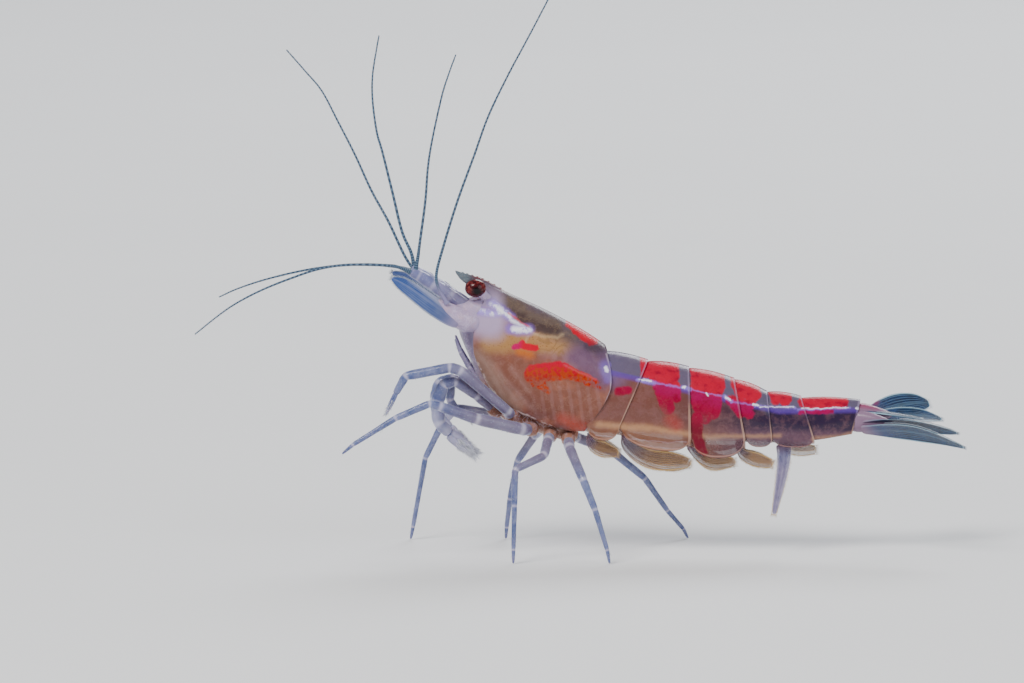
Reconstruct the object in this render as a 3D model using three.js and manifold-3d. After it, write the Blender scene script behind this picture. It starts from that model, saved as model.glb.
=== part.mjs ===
// A dwarf freshwater shrimp, life size, standing with its front legs raised.
// Millimetres. +Z is up, the head points along -X, and the animal's left side is -Y.
// While it is drawn, x = 0 is over the hind edge of the carapace, y = 0 is the middle plane
// of the animal and z = 0 is the ground. The finished group is then moved so that the origin
// lies at the bottom centre of its bounding box.
import * as THREE from 'three';
import Module from 'manifold-3d';
import { mergeVertices } from 'three/addons/utils/BufferGeometryUtils.js';

const wasm = await Module();
wasm.setup();

// Driving dimensions.
const GAP = 0.06; // clearance between neighbouring pieces
const THIN = 0.25; // half the thickness of plates, blades and feelers
const WELD = 1e-3; // vertices closer than this are one
const SLIVER = 0.02; // cut edges are smoothed to within this
const LIMB_SIDES = 7;
const BLADE_SIDES = 8;
const SHORT_SEGMENT = 0.9; // a limb segment shorter than this has no thickened ends
const FEELER_SIDES = 6;
const SIDES = { left: -1, right: 1 };

// The head is turned a little, so the right eye sits lower and nearer the middle.
const EYES = {
  left: { x: -5.95, y: -1.1, z: 13.97 },
  right: { x: -5.93, y: 1.02, z: 13.86 },
};
const EYE_RADII = [0.56, 0.48, 0.48]; // along, across and up
const STALK = { rootX: -5.15, rootY: 0.5, rootZ: 13.3, radius: 0.3 };

// Shell surfaces.
const CARAPACE = {
  colour: 0xb9a3a0,
  // x, ridge height, lower edge height, half width
  rows: [
    [-6.5, 14.4, 10.5, 0.95],
    [-6.2, 14.35, 10.2, 1.05],
    [-5.7, 14.3, 9.5, 1.2],
    [-5.2, 14.1, 8.5, 1.36],
    [-4.6, 13.8, 7.75, 1.5],
    [-3.9, 13.47, 7.35, 1.62],
    [-3.0, 13.1, 6.95, 1.74],
    [-2.0, 12.6, 6.6, 1.84],
    [-1.0, 12.07, 6.35, 1.88],
    [0.0, 11.48, 6.35, 1.86],
    [0.6, 11.05, 6.4, 1.8],
    [1.2, 10.65, 6.4, 1.74],
  ],
  widestAt: 0.42, // height of the widest place, as a share of the shell's height
  lowerPinch: 0.38, // how much narrower the lower edge is
  heights: [0.96, 0.87, 0.74, 0.58, 0.4, 0.2, 0],
  stations: 11,
};

const ROSTRUM = {
  // x, top height, bottom height
  rows: [
    [-7.02, 14.8, 14.66],
    [-6.66, 14.67, 14.3],
    [-6.24, 14.57, 14.02],
    [-5.72, 14.42, 13.8],
    [-5.2, 14.19, 13.6],
    [-4.68, 13.9, 13.4],
    [-4.1, 13.6, 13.1],
  ],
  halfThickness: 0.25,
  tipThickness: 0.08,
};

const STERNUM = { front: -5.4, hind: -0.5, halfWidth: 0.85, depth: 0.6, stations: 8 };

// The six shell rings of the abdomen. Each edge is given at the back and at the bottom.
// top, floor: heights of the back and of the belly. half: half width.
// drop: how far the side flaps hang below the belly.
const ABDOMEN = {
  colour: 0xb8a6ae,
  rings: [
    {
      front: [0.7, -0.2], hind: [3.0, 1.5],
      top: [10.6, 10.12], floor: [6.85, 6.75],
      half: [1.6, 1.66],
      drop: 0.8,
    },
    {
      front: [3.06, 1.56], hind: [5.12, 5.2],
      top: [10.05, 9.76], floor: [6.75, 6.15],
      half: [1.62, 1.7],
      drop: 0.95,
    },
    {
      front: [5.18, 5.26], hind: [7.48, 8.05],
      top: [9.7, 9.15], floor: [6.12, 6.08],
      half: [1.62, 1.52],
      drop: 1.05,
    },
    {
      front: [7.54, 8.11], hind: [9.18, 9.45],
      top: [9.1, 8.47], floor: [6.1, 6.05],
      half: [1.42, 1.28],
      drop: 0.45,
    },
    {
      front: [9.24, 9.51], hind: [10.95, 11.65],
      top: [8.44, 8.2], floor: [6.05, 6.0],
      half: [1.2, 1.08],
      drop: 0.45,
    },
    {
      front: [11.01, 11.71], hind: [14.05, 13.6],
      top: [8.12, 8.0], floor: [5.95, 6.25],
      half: [0.98, 0.72],
      drop: 0,
    },
  ],
  crown: 0.12, // how much each ring's back swells between its edges
  hindStep: 0.05, // how much each hind edge stands over the ring behind it
  stations: [0, 0.1, 0.3, 0.55, 0.8, 0.93, 1],
  heights: [0.96, 0.86, 0.7, 0.5, 0.28, 0.08],
};

const LIMB_COLOUR = 0xa9b2c8;
const FAN_COLOUR = 0x8fa9b4;
const SKIN_COLOUR = 0xc6bcc6;

const point = (x, y, z) => new THREE.Vector3(x, y, z);
const { lerp } = THREE.MathUtils;

// The other columns of a table, read at x by straight lines between its rows.
function readRow(rows, x) {
  const last = rows.length - 1;
  let i = 0;
  while (i < last - 1 && x > rows[i + 1][0]) {
    i += 1;
  }
  const share = THREE.MathUtils.clamp((x - rows[i][0]) / (rows[i + 1][0] - rows[i][0]), 0, 1);
  return rows[i].slice(1).map((value, k) => lerp(value, rows[i + 1][k + 1], share));
}

// Closed solids ---------------------------------------------------------------------------

function flatOutline(ring) {
  const centre = point(0, 0, 0);
  ring.forEach((p) => centre.addScaledVector(p, 1 / ring.length));
  const normal = point(0, 0, 0);
  ring.forEach((p, i) => {
    const next = ring[(i + 1) % ring.length];
    normal.add(p.clone().sub(centre).cross(next.clone().sub(centre)));
  });
  normal.normalize();
  const across = ring[0].clone().sub(centre);
  across.addScaledVector(normal, -across.dot(normal)).normalize();
  const up = normal.clone().cross(across);
  return ring.map((p) => {
    const arm = p.clone().sub(centre);
    return new THREE.Vector2(arm.dot(across), arm.dot(up));
  });
}

function capTriangles(ring) {
  const outline = flatOutline(ring);
  return THREE.ShapeUtils.triangulateShape(outline, []).map(([a, b, c]) => {
    const turn = outline[b].clone().sub(outline[a]).cross(outline[c].clone().sub(outline[a]));
    return turn > 0 ? [a, b, c] : [a, c, b];
  });
}

function enclosedVolume(positions, triangles) {
  const corner = (i) => point(positions[3 * i], positions[3 * i + 1], positions[3 * i + 2]);
  let volume = 0;
  for (let i = 0; i < triangles.length; i += 3) {
    volume += corner(triangles[i]).dot(corner(triangles[i + 1]).cross(corner(triangles[i + 2])));
  }
  return volume / 6;
}

// A closed body through a row of rings, which all have the same number of points.
function loft(rings) {
  const count = rings[0].length;
  const lastRing = (rings.length - 1) * count;
  const positions = rings.flat().flatMap((p) => [p.x, p.y, p.z]);
  const triangles = [];
  for (let start = 0; start < lastRing; start += count) {
    for (let i = 0; i < count; i += 1) {
      const a = start + i;
      const b = start + ((i + 1) % count);
      triangles.push(a, b, b + count, a, b + count, a + count);
    }
  }
  capTriangles(rings[0]).forEach(([a, b, c]) => triangles.push(a, c, b));
  capTriangles(rings[rings.length - 1]).forEach((corners) => {
    triangles.push(...corners.map((i) => i + lastRing));
  });
  if (enclosedVolume(positions, triangles) < 0) {
    triangles.reverse();
  }
  const geometry = new THREE.BufferGeometry();
  geometry.setAttribute('position', new THREE.Float32BufferAttribute(positions, 3));
  geometry.setIndex(triangles);
  return geometry;
}

// An oval section carried along a centre line. Each stop is a point with its two half widths,
// one along the direction `across` and one square to it. grow swells it on every side.
function sweep(stops, across, sides, grow = 0) {
  const rings = stops.map((stop, i) => {
    const before = stops[Math.max(i - 1, 0)].at;
    const after = stops[Math.min(i + 1, stops.length - 1)].at;
    const along = stop.along ?? after.clone().sub(before).normalize();
    const first = across.clone().addScaledVector(along, -across.dot(along)).normalize();
    const second = along.clone().cross(first);
    const centre = stop.at.clone();
    if (i === 0) {
      centre.addScaledVector(along, -grow);
    }
    if (i === stops.length - 1) {
      centre.addScaledVector(along, grow);
    }
    return Array.from({ length: sides }, (_, k) => {
      const turn = (2 * Math.PI * (k + 0.5)) / sides;
      return centre
        .clone()
        .addScaledVector(first, (stop.wide + grow) * Math.cos(turn))
        .addScaledVector(second, (stop.deep + grow) * Math.sin(turn));
    });
  });
  return loft(rings);
}

function toManifold(geometry) {
  const bare = new THREE.BufferGeometry();
  bare.setAttribute('position', geometry.getAttribute('position').clone());
  bare.setIndex(geometry.index ? geometry.index.clone() : null);
  const merged = mergeVertices(bare, WELD);
  return new wasm.Manifold(
    new wasm.Mesh({
      numProp: 3,
      vertProperties: new Float32Array(merged.getAttribute('position').array),
      triVerts: new Uint32Array(merged.index.array),
    }),
  );
}

function toGeometry(solid) {
  const mesh = solid.getMesh();
  const geometry = new THREE.BufferGeometry();
  geometry.setAttribute('position', new THREE.BufferAttribute(mesh.vertProperties, 3));
  geometry.setIndex(new THREE.BufferAttribute(mesh.triVerts, 1));
  return geometry;
}

// Shell of the head and chest -------------------------------------------------------------

function shellHalfWidth(height) {
  const { widestAt, lowerPinch } = CARAPACE;
  if (height > widestAt) {
    return (1 - ((height - widestAt) / (1 - widestAt)) ** 2.3) ** 0.62;
  }
  return 1 - lowerPinch * ((widestAt - height) / widestAt) ** 2;
}

function hindMargin(height) {
  const bulge = 0.62;
  if (height < bulge) {
    return 1.15 - 1.5 * ((bulge - height) / bulge) ** 1.6;
  }
  return 1.15 - 0.35 * ((height - bulge) / (1 - bulge)) ** 2;
}

const frontMargin = (height) => lerp(-6.3, -5.9, height);

function carapaceRing(share, grow) {
  const place = (height, side) => {
    const x = lerp(frontMargin(height) - grow, hindMargin(height) + grow, share);
    const [ridge, edge, halfWidth] = readRow(CARAPACE.rows, x);
    const y = side * (halfWidth * shellHalfWidth(height) + (height === 1 ? 0 : grow));
    return point(x, y, lerp(edge - grow, ridge + grow, height));
  };
  return [
    place(1, 0),
    ...CARAPACE.heights.map((height) => place(height, 1)),
    ...CARAPACE.heights.map((height) => place(height, -1)).reverse(),
  ];
}

function carapaceShell(grow) {
  const rings = Array.from({ length: CARAPACE.stations }, (_, i) => {
    return carapaceRing(i / (CARAPACE.stations - 1), grow);
  });
  return loft(rings);
}

function rostrumBlade(grow) {
  const rings = ROSTRUM.rows.map(([x, top, bottom], i) => {
    const half = (i === 0 ? ROSTRUM.tipThickness : ROSTRUM.halfThickness) + grow;
    return [
      point(x, half * 0.3, top + grow),
      point(x, -half * 0.3, top + grow),
      point(x, -half, lerp(top, bottom, 0.5)),
      point(x, -half, bottom - grow),
      point(x, half, bottom - grow),
      point(x, half, lerp(top, bottom, 0.5)),
    ];
  });
  return loft(rings);
}

function eyeball(sideName, grow = 0) {
  const ball = new THREE.SphereGeometry(1, 14, 9);
  const { x, y, z } = EYES[sideName];
  ball.scale(...EYE_RADII.map((radius) => radius + grow));
  ball.translate(x, y, z);
  return ball;
}

function eyestalk(sideName, grow = 0) {
  const { x, y, z } = EYES[sideName];
  const root = point(STALK.rootX, SIDES[sideName] * STALK.rootY, STALK.rootZ);
  const eye = point(x, y, z);
  const neck = root.clone().lerp(eye, 0.45);
  const stops = [root, neck, eye].map((at) => ({ at, wide: STALK.radius, deep: STALK.radius }));
  return sweep(stops, point(0, 0, 1), LIMB_SIDES, grow);
}

function carapace(grow = 0) {
  let solid = toManifold(carapaceShell(grow)).add(toManifold(rostrumBlade(grow)));
  if (grow === 0) {
    Object.keys(SIDES).forEach((sideName) => {
      solid = solid.subtract(toManifold(eyeball(sideName, GAP)));
      solid = solid.subtract(toManifold(eyestalk(sideName, GAP)));
    });
  }
  return solid;
}

function sternum(grow = 0) {
  const rings = Array.from({ length: STERNUM.stations }, (_, i) => {
    const x = lerp(STERNUM.front - grow, STERNUM.hind + grow, i / (STERNUM.stations - 1));
    const edge = readRow(CARAPACE.rows, x)[1] - GAP;
    const half = STERNUM.halfWidth + grow;
    const bottom = edge - STERNUM.depth - grow;
    return [
      point(x, -half, edge),
      point(x, half, edge),
      point(x, half, lerp(edge, bottom, 0.6)),
      point(x, half * 0.6, bottom),
      point(x, -half * 0.6, bottom),
      point(x, -half, lerp(edge, bottom, 0.6)),
    ];
  });
  return loft(rings);
}

// Abdomen ---------------------------------------------------------------------------------

function abdomenRing(ring, share, grow) {
  const top = lerp(...ring.top, share);
  const floor = lerp(...ring.floor, share);
  const crown = ABDOMEN.crown * Math.sin(Math.PI * share) + ABDOMEN.hindStep * share;
  const half = lerp(...ring.half, share) + crown / 2 + grow;
  const dome = Math.sqrt(Math.max(0, 1 - Math.abs(2 * share - 1) ** 2.6));
  const drop = ring.drop > 0 ? Math.max(ring.drop * dome, GAP) : 0;
  const back = top + crown + grow;
  const belly = floor - grow;
  const x = (z) => {
    const height = THREE.MathUtils.clamp((z - belly) / (back - belly), 0, 1);
    const front = lerp(ring.front[1], ring.front[0], height) - grow;
    const hind = lerp(ring.hind[1], ring.hind[0], height) + grow;
    return lerp(front, hind, share);
  };
  const outer = (height, side) => {
    const z = lerp(belly, back, height);
    const y = side * half * Math.sqrt(1 - height ** 3.2) * lerp(0.93, 1, Math.min(1, height * 3));
    return point(x(z), y, z);
  };
  const flap = (side) => {
    const y = side * half * 0.93;
    const inner = y - side * 2 * (THIN + grow);
    const low = belly - drop;
    return [point(x(low), y, low), point(x(low), inner, low), point(x(belly), inner, belly)];
  };
  const bottom = ring.drop > 0
    ? [...flap(1), ...flap(-1).reverse()]
    : [point(x(belly), half * 0.8, belly), point(x(belly), -half * 0.8, belly)];
  return [
    point(x(back), 0, back),
    ...ABDOMEN.heights.map((height) => outer(height, 1)),
    ...bottom,
    ...ABDOMEN.heights.map((height) => outer(height, -1)).reverse(),
  ];
}

function abdomenSegment(ring, grow = 0) {
  return loft(ABDOMEN.stations.map((share) => abdomenRing(ring, share, grow)));
}

// Limbs -----------------------------------------------------------------------------------

// A jointed limb. Each joint is x, distance from the middle plane, z and radius.
// It thickens a little at each joint. A limb that stands ends in a small level foot.
function limb(joints, side, { standing = false } = {}, grow = 0) {
  const stops = [];
  const last = joints.length - 1;
  joints.forEach(([x, y, z, radius], i) => {
    const at = point(x, side * y, z);
    const swell = i === 0 || i === last ? 1 : 1.12;
    if (i > 0) {
      const from = joints[i - 1];
      const start = point(from[0], side * from[1], from[2]);
      const isFoot = standing && i === last;
      const ends = start.distanceTo(at) < SHORT_SEGMENT ? [0.5] : [0.15, 0.85];
      (isFoot ? [] : ends).forEach((share) => {
        const r = lerp(from[3], radius, share);
        stops.push({ at: start.clone().lerp(at, share), wide: r, deep: r });
      });
    }
    stops.push({ at, wide: radius * swell, deep: radius * swell });
  });
  if (standing) {
    stops[stops.length - 1].along = point(0, 0, -1);
  }
  return sweep(stops, point(0, 1, 0), LIMB_SIDES, grow);
}

// A feeler along a smooth curve through its points.
function feeler(places, side, steps, grow = 0) {
  const through = places.map(([x, y, z]) => point(x, side * y, z));
  const curve = new THREE.CatmullRomCurve3(through, false, 'centripetal');
  const stops = curve.getPoints(steps).map((at) => ({ at, wide: THIN + 0.02, deep: THIN + 0.02 }));
  return sweep(stops, point(0, 1, 0), FEELER_SIDES, grow);
}

// A flat blade. Each stop is x, distance from the middle plane, z and half width.
function blade(stops, side, across, steps, grow = 0) {
  const curve = new THREE.CatmullRomCurve3(stops.map(([x, y, z]) => point(x, side * y, z)));
  const widths = new THREE.CatmullRomCurve3(stops.map((stop) => point(stop[3], 0, 0)));
  const rings = Array.from({ length: steps + 1 }, (_, i) => ({
    at: curve.getPoint(i / steps),
    wide: Math.max(widths.getPoint(i / steps).x, THIN * 0.6),
    deep: THIN,
  }));
  return sweep(rings, point(across[0], side * across[1], across[2]), BLADE_SIDES, grow);
}

// Walking and grasping legs, from the hip to the tip: x, distance from the middle, z, radius.
const LEGS = {
  left: [
    [
      [-4.75, 0.8, 7.3, 0.3], [-5.9, 1.45, 8.4, 0.3], [-7.0, 1.8, 9.2, 0.3],
      [-7.6, 1.8, 9.05, 0.32], [-7.95, 1.8, 8.1, 0.34], [-7.85, 1.8, 7.0, 0.32],
      [-7.05, 1.72, 6.3, 0.38], [-6.4, 1.65, 5.75, 0.42], [-5.95, 1.6, 5.35, 0.3],
    ],
    [
      [-3.9, 0.8, 7.05, 0.32], [-4.3, 1.5, 7.6, 0.31], [-6.76, 2.4, 9.86, 0.3],
      [-7.28, 2.4, 9.98, 0.31], [-9.57, 2.4, 9.54, 0.29], [-9.98, 2.4, 8.81, 0.27],
      [-10.61, 2.4, 7.5, 0.25],
    ],
    [
      [-2.95, 0.8, 6.5, 0.36], [-3.6, 1.75, 6.68, 0.37], [-5.9, 2.55, 7.32, 0.35],
      [-7.8, 3.15, 8.05, 0.32], [-8.32, 3.2, 8.2, 0.29], [-10.09, 3.3, 7.45, 0.27],
      [-12.58, 3.5, 5.9, 0.25], [-13.0, 3.6, 5.5, 0.25],
    ],
    [
      [-2.05, 0.8, 6.25, 0.34], [-2.2, 1.9, 6.1, 0.33], [-2.4, 3.0, 5.45, 0.29],
      [-3.9, 3.9, 4.85, 0.27], [-3.93, 4.3, 3.0, 0.25], [-3.98, 4.5, 0.35, 0.25],
      [-3.99, 4.52, 0, 0.25],
    ],
    [
      [-1.15, 0.8, 6.1, 0.34], [-1.08, 2.0, 5.75, 0.33], [-0.36, 3.6, 4.25, 0.28],
      [0.24, 4.1, 2.78, 0.26], [0.93, 4.5, 0.4, 0.25], [1.0, 4.55, 0, 0.25],
    ],
  ],
  right: [
    [
      [-4.75, 0.8, 7.3, 0.3], [-6.0, 1.4, 8.3, 0.3], [-7.15, 1.6, 8.95, 0.3],
      [-7.9, 1.5, 8.7, 0.32], [-8.1, 1.4, 7.8, 0.32], [-7.8, 1.3, 6.9, 0.32],
      [-7.1, 1.2, 6.2, 0.3], [-6.75, 1.15, 5.8, 0.25],
    ],
    [
      [-3.9, 0.8, 7.05, 0.32], [-4.5, 1.6, 7.5, 0.31], [-6.7, 2.2, 9.0, 0.3],
      [-7.2, 2.2, 8.9, 0.3], [-7.3, 2.2, 7.7, 0.29], [-6.9, 2.2, 7.1, 0.28],
      [-6.1, 2.2, 6.5, 0.25],
    ],
    [
      [-2.95, 0.8, 6.6, 0.34], [-3.6, 1.9, 6.75, 0.33], [-7.0, 3.2, 7.15, 0.3],
      [-7.75, 3.6, 6.2, 0.27], [-8.6, 4.1, 4.4, 0.26], [-9.3, 4.55, 0.4, 0.25],
      [-9.38, 4.6, 0, 0.25],
    ],
    [
      [-2.05, 0.8, 6.25, 0.34], [-2.5, 2.0, 6.25, 0.33], [-2.86, 3.0, 5.74, 0.29],
      [-3.75, 3.9, 4.3, 0.27], [-4.16, 4.4, 2.2, 0.26], [-4.37, 4.75, 0.4, 0.25],
      [-4.38, 4.8, 0, 0.25],
    ],
    [
      [-1.15, 0.8, 6.1, 0.34], [-0.7, 1.9, 5.8, 0.33], [1.2, 3.2, 4.85, 0.28],
      [2.9, 4.0, 3.35, 0.27], [4.1, 4.6, 1.55, 0.25], [5.1, 5.0, 0.3, 0.25],
      [5.2, 5.04, 0, 0.25],
    ],
  ],
};
const STANDING = {
  left: [false, false, false, true, true],
  right: [false, false, true, true, true],
};

const FEELERS = {
  antenna_flagellum: {
    left: [
      [-7.42, 1.42, 13.2], [-7.85, 1.62, 14.0], [-7.97, 1.75, 14.8], [-7.6, 2.2, 16.3],
      [-6.87, 3.0, 18.73], [-6.0, 3.8, 21.2], [-5.27, 4.5, 23.3], [-4.25, 5.2, 25.5],
      [-3.22, 5.9, 27.5], [-2.06, 6.6, 29.8], [-1.09, 7.2, 31.8],
    ],
    right: [
      [-7.42, 1.42, 13.1], [-8.55, 1.85, 14.0], [-9.5, 2.3, 15.0], [-10.5, 3.2, 16.95],
      [-11.4, 4.0, 18.5], [-12.27, 4.8, 20.3], [-13.16, 5.6, 21.95], [-14.02, 6.3, 23.5],
      [-14.9, 6.8, 24.5], [-15.9, 7.2, 25.6],
    ],
  },
  antennule_lower_flagellum: {
    left: [
      [-9.42, 0.58, 14.8], [-9.9, 0.65, 15.0], [-10.52, 0.8, 15.13], [-12.56, 1.6, 15.25],
      [-14.04, 2.2, 15.1], [-15.5, 2.8, 14.68], [-16.95, 3.3, 14.15], [-18.2, 3.7, 13.55],
      [-19.14, 4.0, 12.95], [-20.44, 4.4, 11.95],
    ],
    right: [
      [-9.42, 0.58, 14.7], [-9.9, 0.7, 14.85], [-11.44, 1.4, 14.92], [-13.26, 2.2, 14.75],
      [-15.04, 3.0, 14.4], [-16.95, 3.8, 13.85], [-18.41, 4.4, 13.3], [-19.42, 4.8, 12.8],
    ],
  },
  antennule_upper_flagellum: {
    left: [
      [-9.02, 0.55, 15.1], [-8.93, 0.65, 15.6], [-8.84, 0.8, 16.3], [-8.55, 1.2, 18.5],
      [-8.41, 1.5, 20.3], [-8.18, 1.8, 21.8], [-7.68, 2.2, 24.1], [-7.31, 2.4, 25.3],
      [-6.95, 2.6, 26.3],
    ],
    right: [
      [-9.08, 0.55, 15.0], [-9.3, 0.75, 15.6], [-9.79, 1.2, 16.7], [-10.3, 2.0, 18.7],
      [-10.82, 2.7, 20.7], [-11.11, 3.0, 21.7], [-11.33, 3.5, 23.3], [-11.33, 3.9, 24.6],
      [-11.11, 4.4, 26.0], [-11.0, 4.6, 26.6],
    ],
  },
};
const FEELER_STEPS = 14;

// Stalk of the first feelers, and the block, scale and stalk of the second.
const ANTENNULE = [
  [-6.35, 0.48, 12.85, 0.46], [-7.28, 0.48, 13.5, 0.44], [-8.15, 0.48, 14.08, 0.41],
  [-8.9, 0.5, 14.58, 0.36], [-9.35, 0.52, 14.8, 0.32],
];
const ANTENNA_BASE = [
  [-6.2, 0.85, 12.3, 0.5], [-6.6, 0.98, 12.35, 0.62], [-7.0, 1.05, 12.6, 0.55],
  [-7.4, 1.1, 12.9, 0.42],
];
const SCALE = [
  [-7.25, 1.5, 12.45, 0.45], [-7.9, 1.52, 12.95, 0.58], [-8.6, 1.5, 13.45, 0.55],
  [-9.3, 1.45, 13.95, 0.47], [-9.85, 1.4, 14.3, 0.36], [-10.25, 1.36, 14.5, 0.18],
];
const MOUTHPARTS = [
  [-6.15, 0, 10.1, 0.35], [-6.45, 0, 10.8, 0.5], [-6.6, 0, 11.5, 0.5], [-6.75, 0, 12.1, 0.35],
];
const MAXILLIPED = [
  [-5.75, 0.85, 9.0, 0.27], [-6.3, 0.9, 9.8, 0.26], [-6.75, 0.85, 10.6, 0.25],
  [-7.0, 0.75, 11.3, 0.25],
];

// Tail fan: x, distance from the middle, z, half width.
const TAIL_FAN = {
  uropod_outer: {
    left: {
      stops: [
        [13.75, 0.75, 6.45, 0.3], [14.7, 1.0, 6.5, 0.42], [15.7, 1.5, 6.56, 0.62],
        [16.8, 2.05, 6.5, 0.72], [17.9, 2.5, 6.25, 0.6], [19.5, 2.95, 5.78, 0.15],
      ],
      across: [0, 0.96, 0.28],
    },
    right: {
      stops: [
        [13.85, 0.75, 6.8, 0.3], [14.7, 1.1, 7.1, 0.4], [15.5, 1.6, 7.35, 0.58],
        [16.4, 2.1, 7.5, 0.68], [17.2, 2.5, 7.52, 0.56], [17.85, 2.75, 7.45, 0.2],
      ],
      across: [0, 0.8, 0.6],
    },
  },
  uropod_inner: {
    left: {
      stops: [
        [14.15, 0.45, 6.7, 0.22], [15.1, 0.75, 6.8, 0.34], [16.3, 1.05, 6.8, 0.5],
        [17.6, 1.3, 6.66, 0.46], [18.6, 1.42, 6.5, 0.3], [19.15, 1.45, 6.42, 0.15],
      ],
      across: [0, 0.9, 0.43],
    },
    right: {
      stops: [
        [14.15, 0.45, 6.7, 0.22], [15.1, 0.75, 6.9, 0.34], [16.3, 1.1, 7.0, 0.48],
        [17.4, 1.4, 6.95, 0.4], [18.45, 1.6, 6.75, 0.15],
      ],
      across: [0, 0.95, 0.3],
    },
  },
};
const TELSON = [
  [14.12, 0, 7.55, 0.6], [15.0, 0, 7.42, 0.56], [16.0, 0, 7.25, 0.44], [17.3, 0, 7.02, 0.2],
];

// Swimming legs under the abdomen: x, distance from the middle, z, half width.
const SWIMMERETS = {
  left: [
    [
      [-0.05, 0.75, 6.1, 0.25], [0.15, 0.8, 5.75, 0.35], [0.7, 0.85, 5.5, 0.45],
      [1.45, 0.9, 5.3, 0.15],
    ],
    [
      [1.75, 0.75, 6.3, 0.25], [1.95, 0.82, 5.7, 0.38], [3.1, 0.88, 5.0, 0.55],
      [4.4, 0.9, 4.9, 0.5], [5.25, 0.9, 4.8, 0.15],
    ],
    [
      [5.15, 0.75, 5.75, 0.25], [5.65, 0.82, 5.3, 0.38], [6.4, 0.88, 4.85, 0.5],
      [7.55, 0.9, 4.85, 0.15],
    ],
    [
      [7.7, 0.7, 5.75, 0.22], [7.95, 0.8, 5.25, 0.3], [8.7, 0.85, 4.95, 0.4],
      [9.5, 0.88, 4.75, 0.15],
    ],
    [
      [10.05, 0.6, 5.75, 0.4], [10.08, 0.8, 5.05, 0.36], [9.93, 0.95, 3.95, 0.28],
      [9.57, 1.0, 2.1, 0.16],
    ],
  ],
  right: [
    [
      [-0.05, 0.75, 6.1, 0.25], [0.15, 0.8, 5.75, 0.35], [0.7, 0.85, 5.4, 0.45],
      [1.5, 0.9, 5.1, 0.15],
    ],
    [
      [1.75, 0.75, 6.3, 0.25], [1.95, 0.82, 5.6, 0.38], [3.0, 0.88, 4.9, 0.5],
      [4.3, 0.9, 4.6, 0.5], [5.2, 0.9, 4.5, 0.15],
    ],
    [
      [5.15, 0.75, 5.75, 0.25], [5.6, 0.82, 5.15, 0.38], [6.4, 0.88, 4.7, 0.45],
      [7.5, 0.9, 4.55, 0.15],
    ],
    [[7.7, 0.7, 5.75, 0.22], [7.95, 0.8, 5.1, 0.3], [8.7, 0.85, 4.75, 0.4], [9.5, 0.88, 4.5, 0.15]],
    [
      [9.9, 0.6, 5.7, 0.25], [10.3, 0.8, 5.4, 0.32], [11.0, 0.88, 5.25, 0.32],
      [11.8, 0.9, 5.25, 0.15],
    ],
  ],
};

// The whole animal ------------------------------------------------------------------------

// Every piece is made by a function of grow. A piece named later gives way to the earlier
// ones it is listed against, which are grown by the gap first.
const pieces = [];

function addPiece(name, make, colour, roughness, givesWayTo = []) {
  pieces.push({ name, make, colour, roughness, givesWayTo });
}

const asSolid = (shape) => (shape instanceof THREE.BufferGeometry ? toManifold(shape) : shape);

addPiece('carapace', (grow) => carapace(grow), CARAPACE.colour, 0.35);
addPiece('sternum', (grow) => sternum(grow), SKIN_COLOUR, 0.5);
ABDOMEN.rings.forEach((ring, i) => {
  const neighbours = i === 0 ? ['carapace', 'sternum'] : [];
  addPiece(`abdomen_${i + 1}`, (grow) => abdomenSegment(ring, grow), ABDOMEN.colour, 0.35, neighbours);
});
addPiece('telson', (grow) => blade(TELSON, 1, [0, 1, 0], 6, grow), FAN_COLOUR, 0.3, ['abdomen_6']);

Object.keys(SIDES).forEach((sideName) => {
  addPiece(`eye_${sideName}`, (grow) => eyeball(sideName, grow), 0x4a1512, 0.15);
  const stalk = (grow) => eyestalk(sideName, grow);
  addPiece(`eyestalk_${sideName}`, stalk, SKIN_COLOUR, 0.4, [`eye_${sideName}`]);
});
Object.entries(SIDES).forEach(([sideName, side]) => {
  const antennule = (grow) => limb(ANTENNULE, side, {}, grow);
  addPiece(`antennule_${sideName}`, antennule, SKIN_COLOUR, 0.35, [
    'carapace', `eye_${sideName}`, `eyestalk_${sideName}`,
  ]);
  const base = (grow) => limb(ANTENNA_BASE, side, {}, grow);
  addPiece(`antenna_base_${sideName}`, base, SKIN_COLOUR, 0.4, ['carapace', `antennule_${sideName}`]);
  const scale = (grow) => blade(SCALE, side, [0, -0.5, 0.86], 8, grow);
  addPiece(`antenna_scale_${sideName}`, scale, LIMB_COLOUR, 0.3, [
    `antenna_base_${sideName}`, `antennule_${sideName}`,
  ]);
});
addPiece('mouthparts', (grow) => limb(MOUTHPARTS, 1, {}, grow), SKIN_COLOUR, 0.5, [
  'carapace', 'antenna_base_left', 'antenna_base_right', 'antennule_left', 'antennule_right',
]);
Object.entries(SIDES).forEach(([sideName, side]) => {
  const around = ['carapace', 'sternum', 'mouthparts', `antenna_base_${sideName}`];
  const shape = (grow) => limb(MAXILLIPED, side, {}, grow);
  addPiece(`maxilliped_${sideName}`, shape, LIMB_COLOUR, 0.4, around);
});
Object.entries(FEELERS).forEach(([kind, places]) => {
  Object.entries(SIDES).forEach(([sideName, side]) => {
    const shape = (grow) => feeler(places[sideName], side, FEELER_STEPS, grow);
    const around = [`antennule_${sideName}`, `antenna_base_${sideName}`, `antenna_scale_${sideName}`];
    if (kind === 'antennule_upper_flagellum') {
      around.push(`antennule_lower_flagellum_${sideName}`);
    }
    addPiece(`${kind}_${sideName}`, shape, LIMB_COLOUR, 0.4, around);
  });
});
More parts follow.
